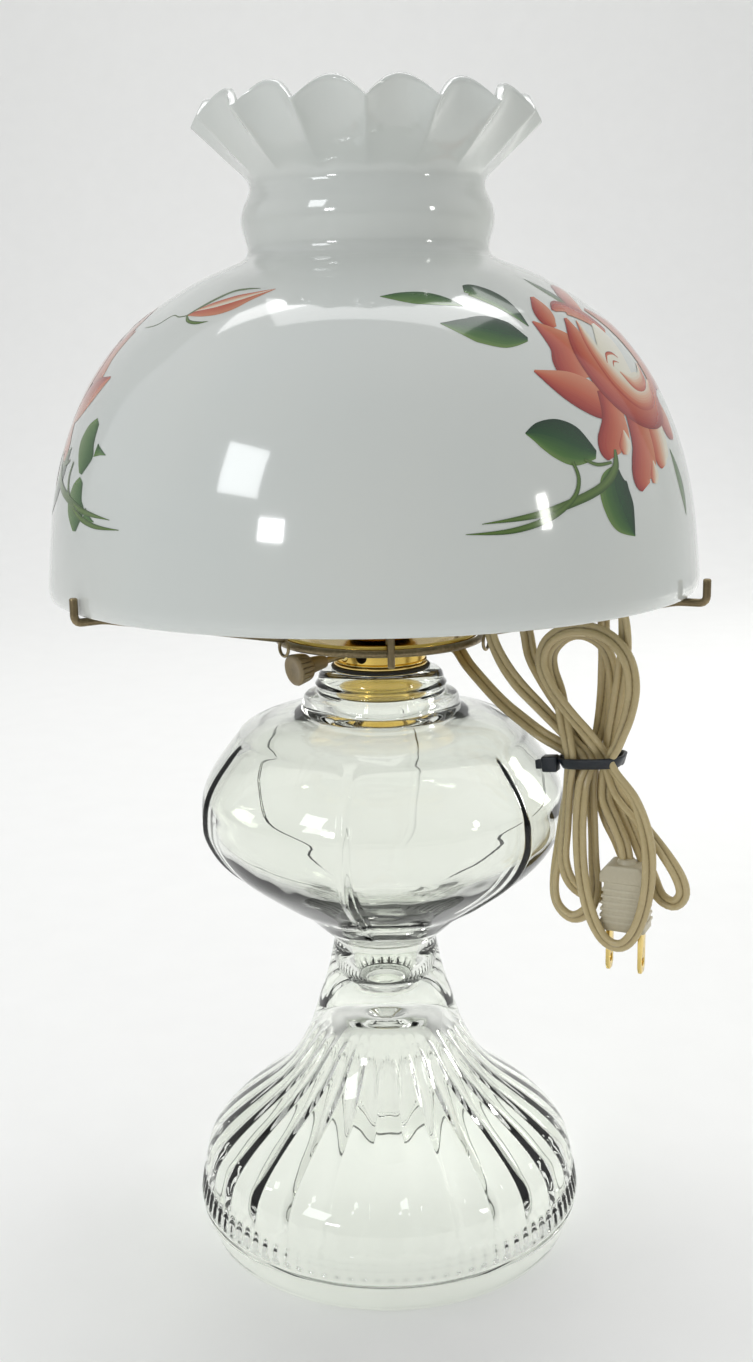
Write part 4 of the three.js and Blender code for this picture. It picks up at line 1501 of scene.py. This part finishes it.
@dataclass
class Shade:
    """The opal dome with its waisted neck and crimped crown, and the painting on it."""

    levels: Levels
    crimps: int = 16
    crimp_out: float = 5.5
    crimp_drop: float = 8.5
    wall: float = 3.2
    waist: float = 151.3
    top: float = 179.6
    paint_lift: float = 0.05
    paint_layer: float = 0.006
    paints: dict[Paint, bpy.types.Material] = field(default_factory=dict)
    heights: np.ndarray = field(init=False)
    radii: np.ndarray = field(init=False)
    leans: np.ndarray = field(init=False)

    def __post_init__(self) -> None:
        """Tables of the dome's line: height, radius and lean at even steps."""
        line = np.array(self.profile(24))
        self.heights, self.radii = line[:, 1], line[:, 0]
        self.leans = np.gradient(self.radii, self.heights)

    def profile(self, per_span: int = 8) -> list[Pair]:
        """The outer line from the rim to the crown.

        Args:
            per_span: Steps between two given points.

        Returns:
            (r, height over the floor) points in mm.
        """
        dome = spline(
            [(127.1, 3), (126.7, 10), (123.5, 36), (117.1, 59.3), (106.3, 81.5)]
            + [(91, 99.8), (70, 114.4), (54.5, 121.6)],
            per_span,
        )
        neck = spline(
            [(50, 123.3), (47, 125.4), (46.1, 128.2), (46.9, 132), (48.2, 137.6), (47.6, 142.6), (45.5, 147.4)]
            + [(44.7, 151.3), (46.5, 155.7), (53.0, 163.6), (65, 179.6)],
            per_span,
        )
        return dome + neck

    def outline(self) -> list[Pair]:
        """The whole closed outline.

        Returns:
            (r, height over the floor) points in mm.
        """
        outside = self.profile()
        normals = np.gradient(np.array(outside), axis=0)
        normals = np.stack([-normals[:, 1], normals[:, 0]], 1)
        normals /= np.linalg.norm(normals, axis=1)[:, None]
        inside = [tuple(p + n * self.wall) for p, n in zip(np.array(outside), normals)]
        rim = [(124.4, 0.9), (124.9, 0.25), (125.6, 0.0), (126.4, 0.3), (126.9, 1.2)]
        lip = [(65.2, self.top + 1.0), (64.4, self.top + 1.8), (63.2, self.top + 1.7)]
        return rim + outside + lip + inside[::-1][:-1]

    def _crimp(self, r: np.ndarray, z: np.ndarray, angle: np.ndarray) -> tuple[np.ndarray, np.ndarray]:
        """Presses the crown into crimps.

        Args:
            r: Radii, as rows.
            z: Heights, as rows.
            angle: Angles, as one row.

        Returns:
            The changed radii and heights.
        """
        share = np.clip((z - self.waist + 2) / (self.top - self.waist + 2), 0, None)
        crimp = (np.sin(self.crimps / 2 * angle) ** 2 + 0.012) ** 0.36
        lean = self.crimp_out * (share**1.5 * 0.35 - share**2.6 * crimp)
        return r + lean, z + self.crimp_drop * share**1.5 * (crimp - 1)

    def glass(self) -> None:
        """The opal glass itself."""
        piece = revolve("opal_shade", self.outline(), 512, self._crimp, 60)
        place(piece, Matrix.Translation((self.levels.shade_shift, 0, self.levels.shade_floor)))
        dress(piece, OPAL.build(), Body.SHADE)
        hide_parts("shade")

    def on_dome(self, line: np.ndarray, lift: float) -> np.ndarray:
        """Points just over the dome's surface.

        Args:
            line: Rows of azimuth in degrees and height in mm.
            lift: How far over the surface, in mm.

        Returns:
            Points in mm.
        """
        lean = np.interp(line[:, 1], self.heights, self.leans)
        scale = lift / np.sqrt(1 + lean**2)
        a = np.radians(line[:, 0])
        out = np.interp(line[:, 1], self.heights, self.radii) + scale
        x = out * np.sin(a) + self.levels.shade_shift
        return np.stack([x, -out * np.cos(a), line[:, 1] + self.levels.shade_floor - lean * scale], 1)

    def _stretch(self, line: np.ndarray) -> np.ndarray:
        """How far apart points of the dome lie.

        Args:
            line: Rows of azimuth in degrees and height in mm.

        Returns:
            Rows of the mm for one degree of azimuth and the mm for one mm of height.
        """
        round_dome = np.interp(line[:, 1], self.heights, self.radii) * math.radians(1)
        up_dome = np.sqrt(1 + np.interp(line[:, 1], self.heights, self.leans) ** 2)
        return np.stack([round_dome, up_dome], 1)

    def stroke_mesh(self, stroke: Stroke, number: int, layer: float) -> tuple[list, list, list]:
        """One stroke as a grid of points with its own UV map.

        Args:
            stroke: The stroke.
            number: Its number, which shifts its streaks.
            layer: How far it lies over the dome, in mm.

        Returns:
            Points, faces and UVs by point.
        """
        line = np.array(spline(stroke.line, 10))
        widths = np.array(spline([(w,) for w in stroke.widths], 10))[:, 0]
        widths = np.interp(np.linspace(0, 1, len(line)), np.linspace(0, 1, len(widths)), widths)
        stretch = self._stretch(line)
        ahead = np.gradient(line * stretch, axis=0)
        ahead /= np.linalg.norm(ahead, axis=1)[:, None]
        left = np.stack([-ahead[:, 1], ahead[:, 0]], 1)
        steps = 12
        points, uvs = [], []
        for k in range(steps + 1):
            share = k / steps
            shift = left * (widths * (0.5 - share))[:, None]
            points.append(self.on_dome(line + shift / stretch, layer))
            uvs.append([(share, number * 3.7 + 2.0 * i / (len(line) - 1)) for i in range(len(line))])
        n = len(line)
        faces = [
            (k * n + i, k * n + i + 1, (k + 1) * n + i + 1, (k + 1) * n + i)
            for k in range(steps)
            for i in range(n - 1)
        ]
        return [tuple(p) for row in points for p in row], faces, [uv for row in uvs for uv in row]

    def paint(self, name: str, strokes: Sequence[Stroke]) -> None:
        """Paints strokes, later ones over earlier ones.

        Args:
            name: The painted group's name.
            strokes: The strokes in the order of painting.
        """
        finishes = list(dict.fromkeys(s.paint for s in strokes))
        points, faces, uvs, slots = [], [], [], []
        for number, stroke in enumerate(strokes):
            p, f, uv = self.stroke_mesh(stroke, number, self.paint_lift + self.paint_layer * number)
            faces += [tuple(i + len(points) for i in face) for face in f]
            slots += [finishes.index(stroke.paint)] * len(f)
            points += p
            uvs += uv
        mesh = bpy.data.meshes.new(name)
        mesh.from_pydata((np.array(points) * MM).tolist(), [], faces)
        mesh.update()
        layer = mesh.uv_layers.new(name="stroke")
        corner = np.zeros(len(mesh.loops), int)
        mesh.loops.foreach_get("vertex_index", corner)
        layer.data.foreach_set("uv", np.array(uvs, np.float32)[corner].ravel())
        mesh.shade_smooth()
        piece = into_scene(name, mesh)
        for finish in finishes:
            mesh.materials.append(self.paints[finish])
        mesh.polygons.foreach_set("material_index", np.array(slots, np.int32))
        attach(piece, Body.SHADE.value)
        LOG.info("%s: %d strokes", name, len(strokes))

    def build(self) -> None:
        """Makes the shade, and the paints for it."""
        self.glass()
        self.paints = {kind: finish.build() for kind, finish in PAINTS.items()}


# ---------------------------------------------------------------- cord
@dataclass(frozen=True)
class HankFrame:
    """The upright plane of the arm that carries the hank: u along the arm, v up, n to its front side."""

    azimuth: float = 65.0
    reach: float = 89.1
    height: float = 210.6

    @property
    def along(self) -> Vector:
        """The direction u."""
        return polar(1, self.azimuth, 0)

    @property
    def front(self) -> Vector:
        """The direction n."""
        return self.along.cross(Vector((0, 0, 1)))

    @property
    def tie(self) -> Vector:
        """The tie's middle."""
        return polar(self.reach, self.azimuth, self.height)

    def at(self, u: float, v: float, n: float) -> Vector:
        """A point of the hank in the lamp's frame."""
        return self.tie + self.along * u + Vector((0, 0, v)) + self.front * n

    def matrix(self) -> Matrix:
        """Turns x, y, z into along, front turned away, up: for pieces made upright.

        Returns:
            The matrix, with its shift at the tie's middle.
        """
        back = -self.front
        rows = Matrix((self.along, back, Vector((0, 0, 1)))).transposed().to_4x4()
        rows.translation = self.tie
        return rows


# From the bushing to the tie, in the lamp's frame.
LEAD = ((31, 8.6, 246.6), (36.1, -1, 240.2), (47.1, -13, 229), (56.1, -22, 222.4), (62.3, -29, 218.6))
# Through the hank, in its own frame. Each row runs from one pass of the tie to the next.
FIRST_DROP = (
    (-7.4, 0, -1.5), (-8.5, -10, -0.6), (-12, -30, -0.5), (-15, -49, -0.5), (-14, -60, -0.5), (-8, -65.2, -0.5),
    (-1.8, -62, -1), (1.2, -53, -1.5), (0.6, -41, -1.5), (0, -27, -1.5), (-1, -12, -1.5),
)
BACK_LOOP = (
    (-1.2, 0, -1.5), (-7, 9, -2.6), (-14, 19, -3.1), (-21, 29, -3.3), (-26, 38, -3.4), (-28, 47, -3.4),
    (-30, 56, -2.6), (-35, 61, 0), (-40.4, 56.5, 2.4), (-40.4, 47.5, 3.2), (-36.5, 38, 3), (-30, 28.6, 2.4),
    (-20.5, 19, 1.4), (-9.5, 8.5, 1.2),
)
FRONT_DROP = (
    (-1.2, 0, 1.6), (-2.6, -10, 4.8), (-3, -27, 6.4), (-1.4, -45, 7.4), (2.6, -60, 8.1), (8.4, -69.4, 8.2),
    (15.6, -70.2, 8.2), (21.4, -61, 8.1), (24.6, -45, 7.6), (23.8, -28, 6.8), (18.4, -12.5, 6),
)
FRONT_ARCH = (
    (8.6, 0, 4.8), (11.6, 9, 5.8), (15.4, 20, 6.6), (17, 31, 6.8), (14.8, 41.4, 6.8), (8.6, 48.8, 6.8), (0, 52, 6.8),
    (-9.4, 51, 6.8), (-16.6, 45.8, 6.8), (-18.6, 38, 6.8), (-15.4, 29.6, 6.8), (-8, 20, 6.8), (1, 9.8, 6),
)
RIGHT_DROP = (
    (6, 0, 1.6), (10.4, -12, 1.0), (19, -22.6, 0.2), (28, -33.4, 0), (34.4, -43, -0.2), (36, -50, -0.8),
    (32.4, -54.6, -1.8), (26.6, -52.6, -3), (22.4, -44.6, -4.2), (17.4, -34, -5), (12.6, -23.4, -5.2), (7.6, -11.4, -5),
)
INNER_ARCH = (
    (5.4, 0, -4.6), (5.6, 10, -4.6), (6.6, 22, -4), (6.6, 34, -2.8), (3.6, 44, -1), (-3, 48.6, 1.6), (-9.6, 47.8, 3.4),
    (-15, 42.2, 3.8), (-15.4, 35.4, 3.7), (-12.4, 26, 3.8), (-10, 14, 4.4), (-8.2, 6, 4.8),
)
REAR_DROP = (
    (-7.4, 0, 4.7), (-8.4, -10, 3.6), (-9.6, -27, 2.8), (-10.6, -41, 2.2), (-7.4, -52, -0.8), (0, -57.4, -5.6),
    (8, -54.6, -8.2), (12, -46, -8.8), (9, -35.6, -7.8), (4, -25, -6.2), (0.2, -12, -5.2),
)
OVER_ARM = (
    (-1.2, 0, -4.6), (0.8, 11, -6), (2, 23, -6.8), (2.4, 36, -6), (2.4, 49, -4.4), (2.8, 59.4, -3), (5.6, 64.4, -0.2),
    (10.2, 62.8, 2.6), (12.2, 56, 3.4), (12.6, 46, 2.8), (11.4, 34, 2.2), (9.4, 22, 1), (7, 10, -0.6),
)
TAIL = ((5.4, 0, -1.5), (5.1, -8, -0.8), (5.4, -15.5, 0), (9.4, -24, 0.6), (12.8, -32, 0.4), (14.2, -39, 0))
PASSES = (FIRST_DROP, BACK_LOOP, FRONT_DROP, FRONT_ARCH, RIGHT_DROP, INNER_ARCH, REAR_DROP, OVER_ARM, TAIL)


@dataclass
class Cord:
    """The flat twin cord, its tie and its plug."""

    effects: Effects
    brass: bpy.types.Material
    frame: HankFrame = HankFrame()
    width: float = 5.5
    thickness: float = 2.75
    exit_azimuth: float = 112.0
    bushing_out: float = 26.7
    bushing_height: float = 247.45
    plug_along: float = 14.2
    plug_top: float = -39.6

    def route(self) -> np.ndarray:
        """The cord's whole line.

        Returns:
            Points in mm, from the bushing to the plug.
        """
        points = [polar(self.bushing_out + 0.3, self.exit_azimuth, self.bushing_height)]
        points += [Vector(p) for p in LEAD]
        points += [self.frame.at(*p) for row in PASSES for p in row]
        return resample(spline([tuple(p) for p in points], 12), 1.5)

    def section(self) -> list[Pair]:
        """Two round cores side by side with a groove between them on both faces.

        Returns:
            (across, out) points in mm.
        """
        core = self.thickness / 2
        offset = self.width / 2 - core
        angles = np.radians(np.linspace(-112, 112, 9))
        right = [(offset + core * math.cos(a), core * math.sin(a)) for a in angles]
        left = [(-x, -y) for x, y in right]
        return [*right, (0.0, core * 0.3), *left, (0.0, -core * 0.3)]

    def cord(self, tie: bpy.types.Object) -> None:
        """The cord itself.

        Args:
            tie: The tie round the hank; not used.
        """
        path = self.route()
        facing = (self.frame.front + Vector((0.12, 0, 0.1))).normalized()

        def roll(share: float) -> float:
            """The cord's own twist along its way."""
            return 0.75 * math.sin(share * 47.0) + 0.3 * math.sin(share * 89.0 + 1.0)

        piece = sweep("flat_cord", path, self.section(), facing, follow=0.1, twist=roll, sharp=75)
        dress(piece, VINYL.build(self.effects), Body.ROOT)
        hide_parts("cord_lead", "cord_hank", "cord_tail")

    def tie(self) -> bpy.types.Object:
        """The nylon tie: a band with a square head and its cut tail.

        Returns:
            The tie.
        """
        wide, deep, half, squareness = 11.9, 7.6, 2.3, 3.2
        loop = []
        for a in np.linspace(0, 2 * math.pi, 72, endpoint=False):
            c, s = math.cos(a), math.sin(a)
            stretch = (abs(c) ** squareness + abs(s) ** squareness) ** (-1 / squareness)
            loop.append((wide * c * stretch, deep * s * stretch, 0.0))
        strap = [(-half, -0.6), (half, -0.6), (half, 0.6), (-half, 0.6)]
        band = sweep("band", loop, strap, Vector((0, 0, 0)), True, 0.0)
        bevel(band, 0.3, 2, 40)
        head = prism("head", [(-18.4, -3.1), (-12.2, -3.1), (-12.2, 3.1), (-18.4, 3.1)], -7.9, -2.6)
        bevel(head, 0.8, 3)
        tail = prism("tail", [(-21.2, -2.0), (-18.2, -2.0), (-18.2, 2.0), (-21.2, 1.5)], -6.4, -5.0)
        bevel(tail, 0.3, 2)
        piece = join("nylon_tie", [band, head, tail])
        tilt = Matrix.Rotation(-math.radians(6), 4, "Y")
        place(piece, self.frame.matrix() @ tilt)
        dress(piece, NYLON.build(self.effects), Body.ROOT)
        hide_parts("cord_tie")
        return piece

    def plug(self) -> list[bpy.types.Object]:
        """The moulded plug: flat cap, ribbed grip, and two blades with holes.

        Returns:
            The plug and its two blades.
        """
        vinyl = PLUG.build(self.effects)
        cap = prism("cap", [(-6.5, 0), (6.5, 0), (9.4, -3.6), (9.4, -7.4), (-9.4, -7.4), (-9.4, -3.6)], -6.0, 6.0)
        bevel(cap, 0.9, 3)
        grip = prism("grip", [(-7.6, -6.8), (7.6, -6.8), (8.9, -26.9), (-8.9, -26.9)], -5.6, 5.6)
        bevel(grip, 0.9, 3)
        pieces = [cap, grip]
        for k in range(6):
            z = -9.6 - 2.6 * k
            half = 7.8 + 0.065 * (-z - 6.8) + 0.35
            rib = prism(f"rib_{k}", [(-half, z), (half, z), (half, z - 1.3), (-half, z - 1.3)], -5.9, 5.9)
            bevel(rib, 0.35, 2)
            pieces.append(rib)
        relief = revolve("relief", [(0, 1.6), (3.0, 1.6), (3.4, 1.0), (4.2, -0.6), (0, -0.6)], 32)
        pieces.append(relief)
        shift = self.frame.matrix() @ Matrix.Translation((self.plug_along, 0, self.plug_top))
        body = place(join("moulded_plug", pieces), shift)
        dress(body, vinyl, Body.ROOT)
        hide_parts("plug_body")
        made = [body]
        for node, side, width in (("plug_blade_wide", 1, 6.4), ("plug_blade_narrow", -1, 6.1)):
            x, half, top = side * 6.35, width / 2, -27.2
            shoulder, tip = top - 14.6, top - 17
            near = [(-half, top), (half, top), (half, shoulder)]
            far = [(half - 1.4, tip), (-half + 1.4, tip), (-half, shoulder)]
            blade = prism(node + "_face", near + far, -0.75, 0.75)
            hole = sweep("hole", [(0, -3, top - 12.5), (0, 3, top - 12.5)], round_section(1.6, 24), Vector((0, 0, 1)))
            cut(blade, [hole])
            bevel(blade, 0.18, 2)
            turn = Matrix.Rotation(math.pi / 2, 4, "Z")
            place(blade, shift @ Matrix.Translation((x, 0, 0)) @ turn)
            dress(blade, self.brass, Body.ROOT)
            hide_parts(node)
            made.append(blade)
        return made

    def build(self) -> None:
        """Makes the plug, tie and cord."""
        plug = self.plug()
        self.cord(self.tie())


# ---------------------------------------------------------------- studio
@dataclass
class Studio:
    """Pale floor, soft lights and the camera."""

    distance: float = 594.8
    height: float = 362.0
    pitch: float = 12.06
    roll: float = 1.0
    lens: float = 39.65
    shift_x: float = -1.8

    def camera(self) -> None:
        """The camera a little above the gallery, looking slightly down."""
        data = bpy.data.cameras.new("camera")
        data.lens = self.lens
        data.sensor_width = 36.0
        camera = into_scene("camera", data)
        look = Matrix.Rotation(math.radians(90 - self.pitch), 4, "X")
        lean = Matrix.Rotation(math.radians(-self.roll), 4, "Z")
        at = Vector((self.shift_x, -self.distance, self.height)) * MM
        camera.matrix_world = Matrix.Translation(at) @ look @ lean
        bpy.context.scene.camera = camera

    def floor(self) -> None:
        """A seamless pale sweep: floor, curve and wall."""
        profile = [(-3.0, 0.0), (1.6, 0.0)]
        profile += [(1.6 + 1.2 * math.sin(a), 1.2 - 1.2 * math.cos(a)) for a in np.radians(np.linspace(5, 90, 18))]
        profile += [(2.8, 5.0)]
        vertices = [(x, y, z) for x in (-5.0, 5.0) for y, z in profile]
        n = len(profile)
        mesh = bpy.data.meshes.new("studio_floor")
        mesh.from_pydata(vertices, [], [(i, i + n, i + n + 1, i + 1) for i in range(n - 1)])
        mesh.shade_smooth()
        floor = into_scene("studio_floor", mesh)
        material, nodes, shader = new_material("pale floor")
        place_at = nodes.add("ShaderNodeTexCoord").outputs["Object"]
        paper = nodes.mix(nodes.noise(place_at, 30.0), (0.90, 0.90, 0.89), (0.93, 0.93, 0.92))
        nodes.wire(paper, shader.inputs["Base Color"])
        shader.inputs["Roughness"].default_value = 0.8
        mesh.materials.append(material)

    @staticmethod
    def lamp(
        name: str,
        at: Triple,
        target: Triple,
        size: Pair,
        power: float,
        colour: Colour = (1, 1, 1),
        mirrored: bool = True,
    ) -> None:
        """A soft rectangular light.

        Args:
            name: The light's name.
            at: Where it stands, in metres.
            target: What it faces, in metres.
            size: Its width and height in metres.
            power: Its power in watts.
            colour: Its colour.
            mirrored: False keeps it out of reflections.
        """
        data = bpy.data.lights.new(name, "AREA")
        data.shape = "RECTANGLE"
        data.size, data.size_y = size
        data.energy = power
        data.color = colour
        light = into_scene(name, data)
        light.visible_glossy = mirrored
        light.location = at
        light.rotation_mode = "QUATERNION"
        light.rotation_quaternion = (Vector(target) - Vector(at)).to_track_quat("-Z", "Y")

    def lights(self) -> None:
        """A soft key and a small window on the left, two lights on the right, one above and one for the backdrop."""
        self.lamp("key", (-1.3, -1.2, 1.2), (0, 0, 0.3), (0.5, 0.5), 5.5, (0.95, 0.98, 1.0))
        self.lamp("window", (-0.82, -1.25, 0.62), (0, 0, 0.33), (0.22, 0.17), 2.4, (0.97, 0.97, 1.0))
        self.lamp("side", (1.5, 1.0, 0.75), (0, 0, 0.28), (0.5, 0.9), 9, (1.0, 1.0, 0.95), False)
        self.lamp("lantern", (1.2, -0.75, 0.62), (0, 0, 0.3), (0.1, 0.22), 1.2, (1.0, 1.0, 0.96))
        self.lamp("top", (0.1, 0.6, 1.9), (0, 0, 0.2), (1.4, 1.0), 8)
        self.lamp("backdrop", (0, 1.0, 2.4), (0, 2.7, 0.5), (2.4, 1.0), 20)

    @staticmethod
    def surround() -> None:
        """An even pale surround, darker on the near side."""
        world = bpy.data.worlds.new("studio")
        bpy.context.scene.world = world
        world.use_nodes = True
        nodes = Nodes(world.node_tree)
        split = nodes.add("ShaderNodeSeparateXYZ")
        nodes.wire(nodes.add("ShaderNodeTexCoord").outputs["Generated"], split.inputs[0])
        level = nodes.scaled(split.outputs["Z"], 0.5, 0.5)
        near = nodes.maths("MULTIPLY", split.outputs["Y"], -0.85, clamp=True)
        below = ((0.0, (0.5, 0.5, 0.49)), (0.46, (0.5, 0.51, 0.5)))
        above = ((0.62, (0.84, 0.85, 0.86)), (1.0, (0.9, 0.9, 0.92)))
        tone = nodes.mix(near, nodes.ramp(level, below + above), (0.24, 0.25, 0.24))
        background = world.node_tree.nodes["Background"]
        nodes.wire(tone, background.inputs["Color"])
        background.inputs["Strength"].default_value = 0.72

    def build(self) -> None:
        """Sets the studio up."""
        self.camera()
        self.floor()
        self.lights()
        self.surround()
        bpy.context.scene.view_settings.view_transform = "Standard"


# ---------------------------------------------------------------- painting
def right_spray(with_leaves: bool = True) -> list[Stroke]:
    """The large rose on the right with its stems.

    Args:
        with_leaves: Puts the leaves under it.

    Returns:
        The strokes in the order of painting.
    """
    rose, pale, cream = Paint.ROSE, Paint.BLUSH, Paint.CREAM
    leaf, light, stem = Paint.LEAF, Paint.LIGHT_LEAF, Paint.STEM
    leaves = [
        Stroke(
            ((2.5, 107.4), (7.5, 107.2), (12.5, 106.6), (17, 105.4), (21.2, 103.8)),
            (0.3, 5.6, 8.2, 6.2, 0.3),
            light,
        ),
        Stroke(((24.2, 109.6), (27, 109.2), (30.4, 106.6), (32.8, 102.6), (34.6, 97)), (4, 9.4, 10, 6.4, 0.5), leaf),
        Stroke(((14.4, 98.2), (19, 97.2), (23.6, 96), (28, 94), (32.4, 92.6)), (0.3, 8, 14.5, 13, 2), leaf),
        Stroke(((51, 114), (53.2, 110.4), (55.2, 106), (57, 100.5)), (0.4, 4.4, 4.4, 0.4), leaf),
        Stroke(((25.4, 62.8), (28, 62.4), (31.4, 60.6), (35, 57.6), (38.8, 54.8)), (0.4, 8.5, 14.0, 13.5, 3), leaf),
        Stroke(((42.6, 50.0), (41.6, 45.6), (41.8, 40), (43.2, 33.4), (45.2, 27)), (4, 13.5, 15.5, 13, 0.4), leaf),
        Stroke(((63.4, 54), (64.4, 47), (65.4, 39), (65.6, 30)), (0.4, 4.6, 5.6, 0.4), light),
    ]
    stems = [
        Stroke(
            ((43.6, 56), (42.6, 50), (39, 44.6), (33, 40.6), (25, 37), (16.2, 35.2)),
            (1.2, 3.2, 3.2, 3.0, 2.2, 0.2),
            stem,
        ),
        Stroke(
            ((33.4, 53), (34, 47.5), (32.4, 41.5), (27.5, 35.8), (21, 32.6), (13.6, 32.2)),
            (1.4, 1.6, 1.8, 2.2, 1.8, 0.2),
            stem,
        ),
        Stroke(((36, 53.4), (38.6, 51.6), (42, 51.9)), (1.0, 1.3, 1.0), stem),
    ]
    outer = [
        Stroke(((57, 101), (60, 106.4), (64.6, 110.4), (69, 111.6)), (4, 12, 11, 2), rose),
        Stroke(((76.6, 94), (72.6, 95.6), (68, 95)), (3, 13, 12), rose),
        Stroke(((76.6, 75.6), (73.4, 79.4), (69, 83)), (3, 14, 13), rose),
        Stroke(((68.4, 57.6), (67, 62), (64, 70)), (3, 13, 13), rose),
        Stroke(((58.6, 48.6), (58.6, 51.4), (59.4, 59), (59.6, 68)), (5, 13, 15.4, 14), pale),
        Stroke(((41.8, 96.6), (41.4, 99), (42.4, 103), (43.8, 107.2)), (3, 8.6, 9, 2.4), rose),
        Stroke(((40.4, 79), (40.6, 84), (41, 91), (36.6, 98.6)), (12, 18, 16, 1.2), rose),
        Stroke(((47.4, 68.6), (43, 72), (37, 77.4), (30.6, 82.4)), (6, 13.4, 12, 1), rose),
        Stroke(((43.4, 53.8), (43.4, 56.2), (44.8, 61), (46, 67), (47, 76)), (7, 15, 16, 13, 12), rose),
        Stroke(((46.2, 54), (46.8, 57.4), (47.4, 62)), (3, 7, 1), pale),
        Stroke(((50.4, 42.8), (50.2, 45.2), (51.2, 50), (52.4, 57), (53.2, 68)), (6, 14, 16, 15, 14), rose),
        Stroke(((53.2, 43.4), (53.8, 46.6), (54.2, 51)), (3, 6, 1), pale),
    ]
    cup = [
        Stroke(((63, 103.4), (69, 97), (71.2, 88), (70.6, 79.6), (67, 72.4)), (3, 11, 13, 12, 3), rose),
        Stroke(((46.4, 102.4), (51.4, 103.4), (57, 100.6), (61.4, 95.4)), (2, 9, 10, 4), rose),
        Stroke(
            ((67.6, 73), (63, 68.4), (56, 69.2), (50, 75.4), (46.6, 83.6), (46.2, 91.6), (48, 99.8)),
            (4, 13, 16, 16, 14, 11, 2),
            rose,
        ),
        Stroke(((57, 76), (55.6, 83), (56.4, 91), (58, 98)), (10, 19, 16, 3), cream),
        Stroke(
            ((67, 78), (63, 73.4), (57, 73), (52.2, 79), (50.2, 86.4), (50, 93), (51.6, 99)),
            (3, 9, 11, 11, 9, 6, 1),
            pale,
        ),
        Stroke(((66.4, 84), (63.4, 79), (58.4, 77.6), (54.6, 81.4)), (2, 7, 7, 1), pale),
        Stroke(((51.6, 84.4), (53.2, 87.2), (55.8, 87.6), (57.4, 86)), (0.4, 1.3, 1.3, 0.3), rose),
        Stroke(((53.2, 83), (54.4, 84.8), (56.4, 84.4)), (0.3, 0.9, 0.2), rose),
    ]
    return (leaves if with_leaves else []) + outer + cup + stems


def turned(strokes: Sequence[Stroke], shift: float, mirror: bool) -> list[Stroke]:
    """The same painting at another azimuth.

    Args:
        strokes: The strokes to repeat.
        shift: Degrees to add to the azimuth.
        mirror: Mirrors it about azimuth 0 first.

    Returns:
        The new strokes.
    """
    sign = -1 if mirror else 1
    return [Stroke(tuple((sign * a + shift, z) for a, z in s.line), s.widths, s.paint) for s in strokes]


def bud_spray() -> list[Stroke]:
    """The closed bud on the left with its thin stem, and the leaves beside the left rose.

    Returns:
        The strokes in the order of painting.
    """
    rose, blush, leaf, light, stem = Paint.ROSE, Paint.BLUSH, Paint.LEAF, Paint.LIGHT_LEAF, Paint.STEM
    return [
        Stroke(
            ((-61.5, 99.4), (-56, 100.2), (-52.6, 103.2), (-49, 102.6), (-46, 103)),
            (0.3, 0.6, 0.6, 0.6, 0.8),
            stem,
        ),
        Stroke(
            ((-46.2, 103.2), (-41, 104.2), (-35.6, 105.6), (-31, 108.4), (-24.8, 111)),
            (1.4, 7.4, 8.8, 5.6, 0.3),
            rose,
        ),
        Stroke(
            ((-45, 104.4), (-40, 106.2), (-34.6, 108.2), (-30, 109.6), (-25, 111)),
            (0.6, 4.2, 4.4, 2.4, 0.2),
            blush,
        ),
        Stroke(
            ((-46.6, 102.8), (-42.6, 107.4), (-38.4, 110.6), (-34, 111.4), (-29.6, 111.4)),
            (0.8, 1.7, 1.5, 1.1, 0.2),
            stem,
        ),
        Stroke(((-46.4, 103.0), (-44, 101.0), (-40.6, 100.2), (-37.4, 100.6)), (0.8, 1.9, 1.5, 0.2), stem),
        Stroke(((-57.2, 67.5), (-58.6, 62), (-58.8, 56.6), (-58.6, 49.4)), (4, 13, 15.5, 3), light),
        Stroke(((-57.6, 47.4), (-58.6, 42), (-58.4, 36.4), (-57.8, 29.6)), (4, 12.5, 15, 3), light),
        Stroke(((-67.4, 57.6), (-69.6, 50.6), (-72.6, 42), (-77.6, 31)), (1, 8.5, 9, 0.4), leaf),
        Stroke(((-54.6, 57.8), (-52.6, 57.2), (-50.6, 56.4)), (5, 2.2, 0.2), light),
        Stroke(((-54.6, 36), (-52.8, 34.8), (-50.9, 33.9)), (5, 2.2, 0.2), light),
    ]


# ---------------------------------------------------------------- the whole lamp
def warn_of_bare(frame: dict) -> None:
    """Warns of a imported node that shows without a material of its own.
    """
    for name, node in frame["nodes"].items():
        if not node.hide_render and not node.data.materials:
            LOG.warning("%s shows with no material", name)


def main(frame: dict) -> None:
    """Builds the lamp's looks.
    """
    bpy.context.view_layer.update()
    levels = Levels.read()
    Studio().build()
    effects = Effects()
    brass = BRASS.build(effects)
    antique = ANTIQUE.build(effects)
    Cord(effects, brass).build()
    GlassBase(levels).build()
    shade = Shade(levels)
    shade.build()
    shade.paint("rose_right", right_spray())
    shade.paint("rose_left", turned(right_spray(with_leaves=False), -30, True))
    shade.paint("rose_back", turned(right_spray(), 107, False))
    shade.paint("bud_left", bud_spray())
    Burner(levels, effects, brass).build()
    SwitchKnob(levels, effects, brass).build(antique)
    SocketAndBulb(effects, brass).build(frame["nodes"])
    Tripod(levels, antique).build()
    warn_of_bare(frame)


if __name__ == "__main__":
    logging.basicConfig(level=logging.INFO, format="%(name)s: %(message)s")
    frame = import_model()
    main(frame)
